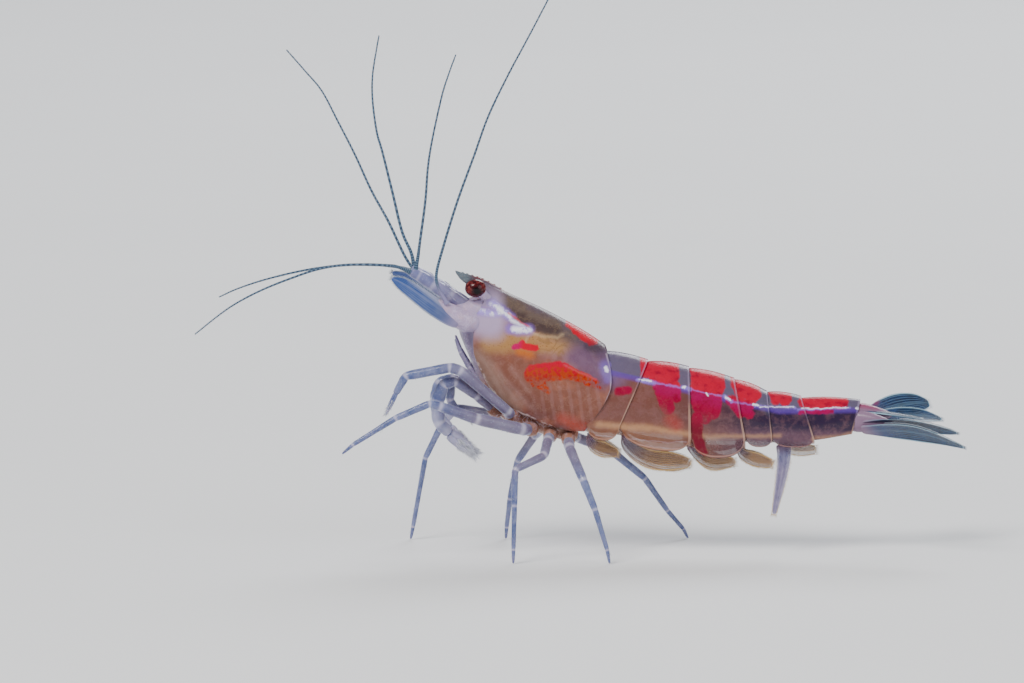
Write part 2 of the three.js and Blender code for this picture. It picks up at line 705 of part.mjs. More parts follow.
Object.entries(SIDES).forEach(([sideName, side]) => {
  LEGS[sideName].forEach((joints, i) => {
    const shape = (grow) => limb(joints, side, { standing: STANDING[sideName][i] }, grow);
    const around = ['carapace', 'sternum', 'abdomen_1', `maxilliped_${sideName}`];
    if (i > 0) {
      around.push(`leg_${i}_${sideName}`);
    }
    addPiece(`leg_${i + 1}_${sideName}`, shape, LIMB_COLOUR, 0.3, around);
  });
  SWIMMERETS[sideName].forEach((stops, i) => {
    const across = i === 4 && sideName === 'left' ? [1, 0, 0] : [0, 0.25, 1];
    const shape = (grow) => blade(stops, side, across, 6, grow);
    const around = ['sternum', 'carapace', `abdomen_${i + 1}`, `leg_5_${sideName}`];
    if (i > 0) {
      around.push(`abdomen_${i}`, `swimmeret_${i}_${sideName}`);
    }
    addPiece(`swimmeret_${i + 1}_${sideName}`, shape, LIMB_COLOUR, 0.4, around);
  });
  const tailNeighbours = ['abdomen_6', 'telson'];
  ['uropod_inner', 'uropod_outer'].forEach((kind) => {
    const { stops, across } = TAIL_FAN[kind][sideName];
    const shape = (grow) => blade(stops, side, across, 8, grow);
    addPiece(`${kind}_${sideName}`, shape, FAN_COLOUR, 0.25, [...tailNeighbours]);
    tailNeighbours.push(`${kind}_${sideName}`);
  });
});

const shrimp = new THREE.Group();
pieces.forEach(({ name, make, colour, roughness, givesWayTo }) => {
  let solid = asSolid(make(0));
  givesWayTo.forEach((other) => {
    const { make: makeOther } = pieces.find((piece) => piece.name === other);
    solid = solid.subtract(asSolid(makeOther(GAP)));
  });
  // Slivers left along a cut are smoothed away, and any crumb beside the piece is dropped.
  const [largest] = solid.simplify(SLIVER).decompose().sort((a, b) => b.volume() - a.volume());
  const material = new THREE.MeshStandardMaterial({ color: colour, roughness, metalness: 0 });
  const mesh = new THREE.Mesh(toGeometry(largest), material);
  mesh.name = name;
  shrimp.add(mesh);
});

const extent = new THREE.Box3().setFromObject(shrimp);
const middle = extent.getCenter(new THREE.Vector3());
shrimp.position.set(-middle.x, -middle.y, -extent.min.z);

export default shrimp;
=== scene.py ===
"""A dwarf freshwater shrimp, life size, standing with its front legs raised."""
import math
import random

import bmesh
import bpy
from mathutils import Matrix, Vector


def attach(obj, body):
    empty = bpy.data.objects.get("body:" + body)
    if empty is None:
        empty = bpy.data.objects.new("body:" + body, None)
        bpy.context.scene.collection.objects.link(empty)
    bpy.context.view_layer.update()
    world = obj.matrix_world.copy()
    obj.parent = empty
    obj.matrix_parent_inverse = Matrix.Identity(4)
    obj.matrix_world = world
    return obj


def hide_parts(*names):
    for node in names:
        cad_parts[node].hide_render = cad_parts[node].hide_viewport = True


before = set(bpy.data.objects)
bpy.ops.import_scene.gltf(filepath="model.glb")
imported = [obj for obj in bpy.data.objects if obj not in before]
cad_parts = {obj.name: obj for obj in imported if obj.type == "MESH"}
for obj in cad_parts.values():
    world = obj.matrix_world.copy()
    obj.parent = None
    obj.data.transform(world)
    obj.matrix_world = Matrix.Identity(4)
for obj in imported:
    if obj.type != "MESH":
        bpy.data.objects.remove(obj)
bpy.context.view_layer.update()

# Everything is modelled in millimetres. x = 0 is over the hind edge of the head shell, y = 0 is
# the middle plane with the animal's left side at -y, and z = 0 is the floor. A finished piece is
# then moved by SHIFT and brought to metres.
MM = 0.001
SHIFT = Vector((0.50945, -0.0003, 0.0))
SIDES = {"left": -1, "right": 1}
UP = Vector((0, 0, 1))
ASIDE = Vector((0, 1, 0))
ALONG = Vector((1, 0, 0))

random.seed(41)


# ---------------------------------------------------------------- camera, floor and light

CAMERA_DISTANCE = 0.6
CAMERA_RISE = math.radians(7)
CAMERA_AIM = Vector((-4.056, 0, 11.05))
VIEW_WIDTH = 0.053248  # what the picture spans at the animal, in metres
SENSOR = 36
NEAREST = 0.01
# Place, size, watts, colour.
LAMPS = {
    "key_lamp": ((-0.22, -0.3, 0.42), 0.26, 2.7, (1.0, 0.97, 0.93)),
    "fill_lamp": ((0.35, -0.3, 0.2), 0.35, 0.8, (0.93, 0.96, 1.0)),
    "back_lamp": ((0.12, 0.34, 0.3), 0.25, 1.3, (0.95, 0.97, 1.0)),
}
LAMP_AIM = Vector((0, 0, 0.009))
FLOOR_SIZE = 6
STUDIO_LIGHT = 0.42


def set_up_camera():
    bpy.ops.object.select_all(action="DESELECT")
    aim = (CAMERA_AIM + SHIFT) * MM
    back = Vector((0, -math.cos(CAMERA_RISE), math.sin(CAMERA_RISE)))
    place = aim + back * CAMERA_DISTANCE
    bpy.ops.object.camera_add(location=place, rotation=(math.pi / 2 - CAMERA_RISE, 0, 0))
    camera = bpy.context.object
    camera.data.sensor_width = SENSOR
    camera.data.lens = SENSOR * CAMERA_DISTANCE / VIEW_WIDTH
    camera.data.clip_start = NEAREST
    bpy.context.scene.camera = camera


def add_lamp(name, place, size, watts, colour):
    bpy.ops.object.light_add(type="AREA", location=place)
    lamp = bpy.context.object
    lamp.name = name
    lamp.data.shape = "DISK"
    lamp.data.size = size
    lamp.data.energy = watts
    lamp.data.color = colour
    lamp.rotation_euler = (LAMP_AIM - Vector(place)).to_track_quat("-Z", "Y").to_euler()


set_up_camera()
for name, (place, size, watts, colour) in LAMPS.items():
    add_lamp(name, place, size, watts, colour)


# ---------------------------------------------------------------- modelling

def pick(piece, wanted):
    """Select these points, by number, and nothing else."""
    bpy.ops.mesh.select_all(action="DESELECT")
    mesh = bmesh.from_edit_mesh(piece.data)
    mesh.verts.ensure_lookup_table()
    for number in wanted:
        mesh.verts[number].select = True
    mesh.select_flush_mode()


def point_count(piece):
    return len(bmesh.from_edit_mesh(piece.data).verts)


def open_piece(name):
    """A new piece at the origin, open for modelling and still empty."""
    bpy.ops.object.select_all(action="DESELECT")
    bpy.ops.mesh.primitive_circle_add(vertices=3, radius=1)
    piece = bpy.context.object
    piece.name = name
    piece.data.name = name
    bpy.ops.object.mode_set(mode="EDIT")
    bpy.ops.mesh.delete(type="VERT")
    return piece


def add_ring(centre, axes, wide, deep, sides):
    """A ring across the third of the axes, wide along the first and deep along the second."""
    bpy.ops.mesh.select_all(action="DESELECT")
    bpy.ops.mesh.primitive_circle_add(
        vertices=sides, radius=1, location=centre, rotation=axes.to_euler()
    )
    bpy.ops.transform.resize(
        value=(wide, deep, 1), orient_type="GLOBAL", orient_matrix=axes,
        orient_matrix_type="GLOBAL", center_override=centre,
    )


def join_rings(piece, first, sides, count):
    """Bridge each ring to the next and close both ends."""
    for ring in range(count - 1):
        start = first + ring * sides
        pick(piece, range(start, start + 2 * sides))
        bpy.ops.mesh.bridge_edge_loops()
    for start in (first, first + (count - 1) * sides):
        pick(piece, range(start, start + sides))
        bpy.ops.mesh.edge_face_add()


def finish_mesh(piece, smooth=1):
    """Turn the faces outwards, round the form, and bring it to its place in metres."""
    bpy.ops.mesh.select_all(action="SELECT")
    bpy.ops.mesh.normals_make_consistent(inside=False)
    bpy.ops.object.mode_set(mode="OBJECT")
    if smooth:
        rounding = piece.modifiers.new("rounding", "SUBSURF")
        rounding.levels = smooth
        rounding.render_levels = smooth
        bpy.ops.object.modifier_apply(modifier=rounding.name)
    piece.location = SHIFT * MM
    piece.scale = (MM, MM, MM)
    bpy.ops.object.transform_apply(location=True, rotation=True, scale=True)
    bpy.ops.object.shade_smooth()


def tag(piece, name, values):
    """Store one number for each point, for the finish to read."""
    bpy.ops.object.mode_set(mode="OBJECT")
    layer = piece.data.attributes.new(name, "FLOAT", "POINT")
    layer.data.foreach_set("value", values)
    bpy.ops.object.mode_set(mode="EDIT")


def hand_over(piece, finish, slot, *nodes):
    """Give a finished piece its material and body, and hide the solids that it stands for. The slot
    is not used.
    """
    piece.data.materials.clear()
    piece.data.materials.append(finish)
    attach(piece, "root")
    if nodes:
        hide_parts(*nodes)


def mirrored(stop, side):
    x, y, z = stop[:3]
    return Vector((x, side * y, z))


def curve_through(points, steps):
    """Points spaced along a smooth curve through all the given ones."""
    spans = len(points) - 1
    ends = [points[0] * 2 - points[1], *points, points[-1] * 2 - points[-2]]
    found = []
    for step in range(steps + 1):
        share = step / steps * spans
        span = min(int(share), spans - 1)
        t = share - span
        a, b, c, d = ends[span:span + 4]
        found.append(
            0.5 * (2 * b + (c - a) * t + (2 * a - 5 * b + 4 * c - d) * t ** 2
                   + (3 * b - a - 3 * c + d) * t ** 3)
        )
    return found


def sweep(piece, stops, sides, across=None):
    """An oval form along a centre line.

    Each stop is a point, two half widths and, where it matters, the way it faces. The first half
    width lies along `across`, which is carried along the line where none is given.
    """
    first = point_count(piece)
    carried = across
    for number, (centre, wide, deep, *faces) in enumerate(stops):
        before = stops[max(number - 1, 0)][0]
        after = stops[min(number + 1, len(stops) - 1)][0]
        along = (faces[0] if faces else after - before).normalized()
        if carried is None:
            carried = along.orthogonal()
        aside = ((across or carried) - along * along.dot(across or carried)).normalized()
        carried = aside
        axes = Matrix((aside, along.cross(aside), along)).transposed()
        add_ring(centre, axes, wide, deep, sides)
    join_rings(piece, first, sides, len(stops))


# ---------------------------------------------------------------- shell of the head and chest

CARAPACE = [
    # x, ridge height, lower edge height, half width
    (-6.5, 14.4, 10.5, 0.95),
    (-6.2, 14.35, 10.2, 1.05),
    (-5.7, 14.3, 9.5, 1.2),
    (-5.2, 14.1, 8.5, 1.36),
    (-4.6, 13.8, 7.75, 1.5),
    (-3.9, 13.47, 7.35, 1.62),
    (-3.0, 13.1, 6.95, 1.74),
    (-2.0, 12.6, 6.6, 1.84),
    (-1.0, 12.07, 6.35, 1.88),
    (0.0, 11.48, 6.35, 1.86),
    (0.6, 11.05, 6.4, 1.8),
    (1.2, 10.65, 6.4, 1.74),
]
# The section of the shell from ridge to belly: share of the height, share of the half width.
CARAPACE_SECTION = [
    (1.0, 0.0), (0.983, 0.2), (0.933, 0.42), (0.853, 0.64), (0.75, 0.82), (0.63, 0.94),
    (0.5, 0.99), (0.37, 0.99), (0.25, 0.94), (0.14, 0.85), (0.05, 0.73), (0.0, 0.6), (0.09, 0.0),
]
# How far the front edge lies behind its line at each of those heights: eye socket, spine, corner.
FRONT_EDGE = [0.0, 0.1, 0.34, 0.5, 0.38, -0.22, 0.05, 0.1, 0.1, 0.16, 0.35, 0.75, 0.9]
FRONT_LINE = -6.3  # where the front edge line starts at the belly
FRONT_LEAN = 0.4  # how far it leans back by the ridge
HIND_LINE = 1.15  # how far back the hind edge reaches
HIND_TURN = 0.62  # at which share of the height: it curves forward above and below
# Rings along the shell, from inside its front edge to inside its hind edge: share of the length,
# and how far the ring is drawn in.
SHELL_STATIONS = [
    (0.07, 0.12), (0.0, 0.05), (0.0, 0.0), (0.03, 0), (0.1, 0), (0.2, 0), (0.32, 0), (0.45, 0),
    (0.58, 0), (0.7, 0), (0.82, 0), (0.91, 0), (0.97, 0), (1.0, 0), (1.0, 0.035), (0.93, 0.05),
]
BODY_SIDES = 24


def read_row(rows, x):
    """The other columns of a table at x, by straight lines between its rows."""
    number = 0
    while number < len(rows) - 2 and x > rows[number + 1][0]:
        number += 1
    low, high = rows[number], rows[number + 1]
    share = min(max((x - low[0]) / (high[0] - low[0]), 0), 1)
    return [a + (b - a) * share for a, b in zip(low[1:], high[1:])]


def hind_margin(height):
    if height < HIND_TURN:
        return HIND_LINE - 1.5 * ((HIND_TURN - height) / HIND_TURN) ** 1.6
    return HIND_LINE - 0.35 * ((height - HIND_TURN) / (1 - HIND_TURN)) ** 2


def shaped_ring(piece, levels):
    """A ring square to the body whose pairs of points are moved to x, half width, z."""
    first = point_count(piece)
    x0 = sum(level[0] for level in levels) / len(levels)
    z0 = (levels[0][2] + levels[-1][2]) / 2
    axes = Matrix((ASIDE, UP, ALONG)).transposed()
    add_ring(Vector((x0, 0, z0)), axes, 1, 1, BODY_SIDES)
    for number, (x, half, z) in enumerate(levels):
        turn = 2 * math.pi * number / BODY_SIDES
        pick(piece, {first + number, first + (BODY_SIDES - number) % BODY_SIDES})
        if 0 < number < len(levels) - 1:
            bpy.ops.transform.resize(
                value=(1, half / math.sin(turn), 1), center_override=(x0, 0, z0)
            )
        bpy.ops.transform.translate(value=(x - x0, 0, z - z0 - math.cos(turn)))


def carapace_levels(share, inset):
    levels = []
    for (height, width), notch in zip(CARAPACE_SECTION, FRONT_EDGE):
        front = FRONT_LINE + FRONT_LEAN * height + notch
        x = front + (hind_margin(height) - front) * share
        ridge, edge, half = read_row(CARAPACE, x)
        middle = (ridge + edge) / 2
        z = edge + (ridge - edge) * height
        z += (middle - z) * inset
        levels.append((x, width * half * (1 - inset), z))
    return levels


def make_carapace():
    shell = open_piece("head_shell")
    for share, inset in SHELL_STATIONS:
        shaped_ring(shell, carapace_levels(share, inset))
    join_rings(shell, 0, BODY_SIDES, len(SHELL_STATIONS))
    finish_mesh(shell, smooth=2)
    return shell


# The blade over the eyes: x, height of its upper edge, height of its lower edge, half thickness.
ROSTRUM = [
    (-7.02, 14.79, 14.7, 0.02),
    (-6.85, 14.74, 14.42, 0.05),
    (-6.62, 14.67, 14.16, 0.08),
    (-6.24, 14.56, 13.94, 0.13),
    (-5.72, 14.41, 13.8, 0.2),
    (-5.2, 14.17, 13.6, 0.25),
    (-4.68, 13.87, 13.4, 0.24),
    (-4.1, 13.5, 13.1, 0.2),
]
ROSTRUM_TEETH = [-6.62, -6.38, -6.12, -5.86, -5.58, -5.28, -4.98, -4.66]
# A tooth, from its root: step forward, step up, half thickness, half depth.
TOOTH = [(0, 0, 0.03, 0.07), (0.06, 0.06, 0.02, 0.035), (0.12, 0.085, 0.005, 0.008)]
TOOTH_ROOT = 0.06  # how far behind its place and below the blade's edge a tooth starts
CREASE = math.radians(50)


def make_rostrum():
    blade = open_piece("rostrum")
    stops = []
    for x, top, bottom, half in ROSTRUM:
        centre = Vector((x, 0, (top + bottom) / 2))
        stops.append((centre, half, (top - bottom) / 2, ALONG))
    sweep(blade, stops, 12, across=ASIDE)
    for x in ROSTRUM_TEETH:
        top = read_row(ROSTRUM, x)[0]
        root = Vector((x + TOOTH_ROOT, 0, top - TOOTH_ROOT))
        sweep(blade, [(root + Vector((-ahead, 0, up)), thick, deep)
                      for ahead, up, thick, deep in TOOTH], 6, across=ASIDE)
    finish_mesh(blade)
    return blade


def join_shell(shell, part):
    """Unite a part with a shell, as one skin."""
    bpy.ops.object.select_all(action="DESELECT")
    shell.select_set(True)
    bpy.context.view_layer.objects.active = shell
    union = shell.modifiers.new("union", "BOOLEAN")
    union.operation = "UNION"
    union.solver = "EXACT"
    union.use_self = True
    union.object = part
    bpy.ops.object.modifier_apply(modifier=union.name)
    bpy.ops.object.select_all(action="DESELECT")
    part.select_set(True)
    bpy.ops.object.delete()
    shell.select_set(True)
    bpy.context.view_layer.objects.active = shell
    bpy.ops.object.shade_smooth_by_angle(angle=CREASE)


# ---------------------------------------------------------------- abdomen

# Each edge is given at the back and at the belly. drop: how far the side plates hang down.
ABDOMEN = [
    dict(front=(0.7, -0.2), hind=(3.0, 1.5), top=(10.6, 10.12), floor=(6.85, 6.75),
         half=(1.6, 1.66), drop=0.8),
    dict(front=(3.06, 1.56), hind=(5.12, 5.2), top=(10.05, 9.76), floor=(6.75, 6.15),
         half=(1.62, 1.7), drop=0.95),
    dict(front=(5.18, 5.26), hind=(7.48, 8.05), top=(9.7, 9.15), floor=(6.12, 6.08),
         half=(1.62, 1.52), drop=1.05),
    dict(front=(7.54, 8.11), hind=(9.18, 9.45), top=(9.1, 8.47), floor=(6.1, 6.05),
         half=(1.42, 1.28), drop=0.45),
    dict(front=(9.24, 9.51), hind=(10.95, 11.65), top=(8.44, 8.2), floor=(6.05, 6.0),
         half=(1.2, 1.08), drop=0.45),
    dict(front=(11.01, 11.71), hind=(14.05, 13.6), top=(8.12, 8.0), floor=(5.95, 6.25),
         half=(0.98, 0.72), drop=0.0),
]
# Sections along each tail ring between its tucked front and its lapped hind edge: share of the
# length, and how far the section is drawn in.
RING_STATIONS = [
    (0.0, 0.012), (0.05, 0.006), (0.12, 0.002), (0.24, 0), (0.38, 0), (0.52, 0), (0.68, 0),
    (0.82, 0), (0.92, 0), (0.985, 0),
]
ABDOMEN_HEIGHTS = [1.0, 0.985, 0.94, 0.87, 0.77, 0.64, 0.49, 0.32]
PLATE_THICKNESS = 0.07
BELLY_SAG = 0.75  # how far the soft belly hangs between the side plates, as a share of their drop
PLATE_EDGE = 9  # which level of the section is the lower edge of the side plate
TUCK = 0.42  # how far the front of each ring slides under the one before it
LAP = 0.03  # how far its hind edge lies over the next one


def between(pair, share):
    return pair[0] + (pair[1] - pair[0]) * share


def abdomen_levels(ring, share, inset):
    kept = min(max(share, 0), 1)
    top = between(ring["top"], kept)
    floor = between(ring["floor"], kept)
    swell = 0.09 * math.sin(math.pi * kept) + 0.02 * kept
    half = (between(ring["half"], kept) + swell / 2) * (1 - inset)
    dome = math.sqrt(max(0.0, 1 - abs(2 * kept - 1) ** 2.6))
    low = floor - ring["drop"] * dome * (1 - inset)
    back = top + swell
    middle = (back + floor) / 2

    def place(z, width):
        height = min(max((z - floor) / (back - floor), 0), 1)
        front = between(ring["front"][::-1], height)
        hind = between(ring["hind"][::-1], height)
        x = front + (hind - front) * share
        return (x, width, z + (middle - z) * inset)

    levels = []
    for height in ABDOMEN_HEIGHTS:
        width = math.sqrt(1 - height ** 3.2)
        levels.append(place(floor + (back - floor) * height, half * width))
    wall = half * 0.95
    sag = BELLY_SAG * ring["drop"]
    return levels + [
        place(floor + (low - floor) * 0.35 + 0.12, wall),
        place(low, wall * 0.97),
        place(low + 0.06, wall * 0.97 - PLATE_THICKNESS),
        place(floor - sag * 0.6, wall * 0.84 - PLATE_THICKNESS),
        place(floor - sag, 0),
    ]


def make_abdomen():
    rings = []
    for number, ring in enumerate(ABDOMEN):
        piece = open_piece(f"tail_ring_{number + 1}")
        length = ring["hind"][0] - ring["front"][0]
        tuck = -TUCK / length
        lap = 1 + LAP / length
        stations = [(tuck, 0.09), (tuck / 2, 0.035), *RING_STATIONS,
                    (lap, 0.0), (lap, 0.014), (0.93, 0.03)]
        rim = []
        for share, inset in stations:
            shaped_ring(piece, abdomen_levels(ring, share, inset))
            levels = [min(number, BODY_SIDES - number) for number in range(BODY_SIDES)]
            at_hind_edge = share > 0.98
            rim += [float(at_hind_edge or (level == PLATE_EDGE and share > 0)) for level in levels]
        join_rings(piece, 0, BODY_SIDES, len(stations))
        tag(piece, "rim", rim)
        finish_mesh(piece, smooth=2)
        rings.append(piece)
    return rings


# ---------------------------------------------------------------- limbs

LIMB_SIDES = 10
SHORT_SEGMENT = 0.9
POINTED = 0.45  # how thick a limb ends, as a share of its last radius
STUMP = 0.9


def limb_stops(joints, side, standing, blunt):
    """Rings for a jointed limb: each joint is pinched, and each segment flares towards its end.

    Returns the stops, and for each stop how near it is to a joint.
    """
    points = [mirrored(joint, side) for joint in joints]
    radii = [joint[3] for joint in joints]
    stops = [(points[0], radii[0] * 0.9, radii[0] * 0.9)]
    near = [0.0]
    last = len(points) - 1
    for number in range(last):
        start, end = points[number], points[number + 1]
        along = (end - start).normalized()
        length = (end - start).length
        is_tip = number == last - 1
        # share of the segment, thickness against its radius there, how near it is to a joint
        rings = [(0.5, 0.95, 0.0)]
        if length > SHORT_SEGMENT:
            rings.insert(0, (0.3, 0.97, 0.0))
        if number:
            rings.insert(0, (min(0.3, radii[number] * 0.8 / length), 1.02, 0.15))
        if not (is_tip and standing):
            share = 1 - min(0.3, radii[number + 1] * 0.9 / length)
            rings.append((share, 1.0, 0.0) if is_tip else (share, 1.1, 0.25))
        for share, swell, joint in rings:
            r = between((radii[number], radii[number + 1]), share) * swell
            stops.append((start.lerp(end, share), r, r, along))
            near.append(joint)
        if not is_tip:
            r = radii[number + 1] * 0.86
            stops.append((end, r, r))
            near.append(1.0)
    tip = radii[-1] * (1.0 if standing else blunt)
    stops.append((points[-1], tip, tip, Vector((0, 0, -1)) if standing else along))
    near.append(0.0)
    return stops, near


def add_limb(piece, joints, side, standing=False, blunt=POINTED):
    stops, near = limb_stops(joints, side, standing, blunt)
    sweep(piece, stops, LIMB_SIDES)
    return [value for value in near for _ in range(LIMB_SIDES)]


# Legs from the hip to the tip: x, distance from the middle, z, radius.
LEGS = {
    "left": [
        [(-4.9, 0.9, 7.5, 0.27), (-5.9, 1.45, 8.4, 0.27), (-7.0, 1.8, 9.2, 0.28),
         (-7.6, 1.8, 9.05, 0.33), (-7.95, 1.8, 8.1, 0.4), (-7.85, 1.8, 7.0, 0.36),
         (-7.25, 1.74, 6.45, 0.33)],
        [(-4.0, 0.95, 7.2, 0.29), (-4.3, 1.5, 7.6, 0.3), (-6.76, 2.4, 9.86, 0.3),
         (-7.28, 2.4, 9.98, 0.29), (-9.57, 2.4, 9.54, 0.26), (-10.1, 2.4, 8.6, 0.19)],
        [(-3.05, 0.95, 6.55, 0.33), (-3.6, 1.75, 6.68, 0.35), (-5.9, 2.55, 7.32, 0.33),
         (-7.8, 3.15, 8.05, 0.27), (-8.32, 3.2, 8.2, 0.22), (-10.09, 3.3, 7.45, 0.18),
         (-12.3, 3.48, 6.08, 0.12), (-12.85, 3.56, 5.62, 0.06)],
        [(-2.07, 0.95, 6.22, 0.31), (-2.2, 1.9, 6.1, 0.3), (-2.4, 3.0, 5.45, 0.25),
         (-3.9, 3.9, 4.85, 0.2), (-3.93, 4.3, 3.0, 0.16), (-3.98, 4.5, 0.75, 0.12),
         (-3.99, 4.52, 0, 0.07)],
        [(-1.13, 0.95, 6.05, 0.31), (-1.08, 2.0, 5.75, 0.3), (-0.36, 3.6, 4.25, 0.24),
         (0.24, 4.1, 2.78, 0.18), (0.87, 4.46, 0.72, 0.12), (1.0, 4.55, 0, 0.07)],
    ],
    "right": [
        [(-4.9, 0.9, 7.5, 0.27), (-6.0, 1.4, 8.3, 0.27), (-7.15, 1.6, 8.95, 0.28),
         (-7.9, 1.5, 8.7, 0.3), (-8.1, 1.4, 7.8, 0.3), (-7.8, 1.3, 6.9, 0.28),
         (-7.25, 1.22, 6.35, 0.25)],
        [(-4.0, 0.95, 7.2, 0.29), (-4.5, 1.6, 7.5, 0.3), (-6.7, 2.2, 9.0, 0.28),
         (-7.2, 2.2, 8.9, 0.26), (-7.3, 2.2, 7.7, 0.25), (-6.95, 2.2, 7.18, 0.2)],
        [(-3.05, 0.95, 6.6, 0.31), (-3.6, 1.9, 6.75, 0.3), (-7.0, 3.2, 7.15, 0.26),
         (-7.75, 3.6, 6.2, 0.2), (-8.6, 4.1, 4.4, 0.16), (-9.25, 4.52, 0.7, 0.12),
         (-9.38, 4.6, 0, 0.07)],
        [(-2.07, 0.95, 6.22, 0.31), (-2.5, 2.0, 6.25, 0.3), (-2.86, 3.0, 5.74, 0.25),
         (-3.75, 3.9, 4.3, 0.2), (-4.16, 4.4, 2.2, 0.16), (-4.34, 4.7, 0.65, 0.12),
         (-4.38, 4.8, 0, 0.07)],
        [(-1.13, 0.95, 6.05, 0.31), (-0.7, 1.9, 5.8, 0.3), (1.2, 3.2, 4.85, 0.24),
         (2.9, 4.0, 3.35, 0.19), (4.1, 4.6, 1.55, 0.14), (4.95, 4.95, 0.52, 0.11),
         (5.2, 5.04, 0, 0.07)],
    ],
}
# Legs that stand on the floor.
STANDING = {"left": (4, 5), "right": (3, 4, 5)}
# Claws of the first and second legs: tip and radius. The palm ends where the leg's line ends.
CLAWS = {
    "left": {1: ((-5.95, 1.6, 5.35), 0.3), 2: ((-10.61, 2.4, 7.5), 0.11)},
    "right": {1: ((-6.75, 1.15, 5.8), 0.2), 2: ((-6.1, 2.2, 6.5), 0.13)},
}


# A finger of a claw from root to tip: share of its length, how far it bows out, its half widths,
# each in claw radii, and how milky it is.
FINGER = [
    (0.0, 0.35, 1.1, 0.95, 0.5),
    (0.3, 0.6, 1.1, 0.8, 0.5),
    (0.65, 0.52, 0.95, 0.64, 0.7),
    (0.9, 0.34, 0.62, 0.44, 0.9),
    (1.0, 0.1, 0.14, 0.12, 1.0),
]
FINGER_ROOT = 0.12  # how far inside the palm the fingers start


def add_claw(piece, leg, tip, side, radius):
    """Two slim fingers that close on each other."""
    root = mirrored(leg[-1], side).lerp(mirrored(leg[-2], side), FINGER_ROOT)
    end = mirrored(tip, side)
    spread = (end - root).normalized().cross(ASIDE).normalized()
    tags = []
    for way in (-1, 1):
        bow = spread * way * radius
        stops = []
        for share, out, wide, deep, milky in FINGER:
            stops.append((root.lerp(end, share) + bow * out, radius * wide, radius * deep))
            tags += [milky] * LIMB_SIDES
        sweep(piece, stops, LIMB_SIDES, across=ASIDE)
    return tags


def make_legs():
    legs = {}
    for side_name, side in SIDES.items():
        for number, joints in enumerate(LEGS[side_name], start=1):
            piece = open_piece(f"walking_leg_{number}_{side_name}")
            clawed = number in CLAWS[side_name]
            standing = number in STANDING[side_name]
            near = add_limb(piece, joints, side, standing, STUMP if clawed else POINTED)
            if clawed:
                tip, radius = CLAWS[side_name][number]
                near += add_claw(piece, joints, tip, side, radius)
            tag(piece, "joint", near)
            finish_mesh(piece)
            legs[number, side_name] = piece
    return legs


# ---------------------------------------------------------------- head

# The stalk of the first feeler, the mouth leg and the scale of the second feeler: x, distance
# from the middle, z, radius or half width.
ANTENNULE = [
    (-6.3, 0.48, 12.8, 0.4), (-7.28, 0.48, 13.5, 0.4), (-8.15, 0.48, 14.08, 0.37),
    (-8.9, 0.5, 14.58, 0.32), (-9.32, 0.52, 14.78, 0.26),
]
MAXILLIPED = [
    (-5.75, 0.85, 9.0, 0.16), (-6.3, 0.9, 9.8, 0.14), (-6.75, 0.85, 10.6, 0.11),
    (-7.0, 0.75, 11.3, 0.07),
]
SCALE = [
    (-6.8, 1.3, 12.2, 0.36), (-7.25, 1.45, 12.45, 0.48), (-7.9, 1.52, 12.95, 0.58),
    (-8.6, 1.5, 13.45, 0.55), (-9.3, 1.45, 13.95, 0.47), (-9.85, 1.4, 14.3, 0.36),
    (-10.25, 1.36, 14.5, 0.12),
]
EYES = {"left": Vector((-5.95, -1.1, 13.97)), "right": Vector((-5.93, 1.02, 13.86))}
EYE_RADII = (0.55, 0.47, 0.47)
STALK_ROOT = Vector((-5.15, 0.45, 13.25))
STALK_FACE = 0.72  # how far round an eyeball is drawn in towards its stalk, as a cosine
STALK_PINCH = 0.8
STALK_STEPS = 12
STALK_JOINT = 3  # steps from one joint of a feeler stalk to the next
# Spines on it: x, distance from the middle, z, length. Then the way they point, their radii at
# the root, half way and tip, and how milky they are.
SPINES = [(-7.35, 0.62, 13.95, 0.3), (-8.2, 0.6, 14.48, 0.22), (-7.0, 0.86, 13.3, 0.5)]
SPINE_WAY = (-0.8, 0.1, 0.75)
SPINE_RADII = (0.08, 0.045, 0.008)
SPINE_MILK = 0.7
SPINE_SIDES = 6


def make_antennules():
    pieces = {}
    rows = [(stop[0], stop[3]) for stop in reversed(ANTENNULE)]
    for side_name, side in SIDES.items():
        piece = open_piece(f"first_feeler_stalk_{side_name}")
        points = curve_through([mirrored(stop, side) for stop in ANTENNULE], STALK_STEPS)
        near = []
        stops = []
        for number, centre in enumerate(points):
            at_joint = number % STALK_JOINT == 0 and 0 < number < STALK_STEPS
            r = read_row(rows, centre.x)[0] * (0.95 if at_joint else 1.03)
            stops.append((centre, r, r))
            near += [float(at_joint)] * LIMB_SIDES
        sweep(piece, stops, LIMB_SIDES)
        way = mirrored(SPINE_WAY, side).normalized()
        for *root, length in SPINES:
            root = mirrored(root, side)
            reaches = (-0.1, length * 0.5, length)
            stops = [(root + way * reach, r, r) for reach, r in zip(reaches, SPINE_RADII)]
            sweep(piece, stops, SPINE_SIDES)
            near += [SPINE_MILK] * SPINE_SIDES * len(stops)
        tag(piece, "joint", near)
        finish_mesh(piece)
        pieces[side_name] = piece
    return pieces


def make_maxillipeds():
    pieces = {}
    for side_name, side in SIDES.items():
        piece = open_piece(f"mouth_leg_{side_name}")
        tag(piece, "joint", add_limb(piece, MAXILLIPED, side))
        finish_mesh(piece)
        pieces[side_name] = piece
    return pieces


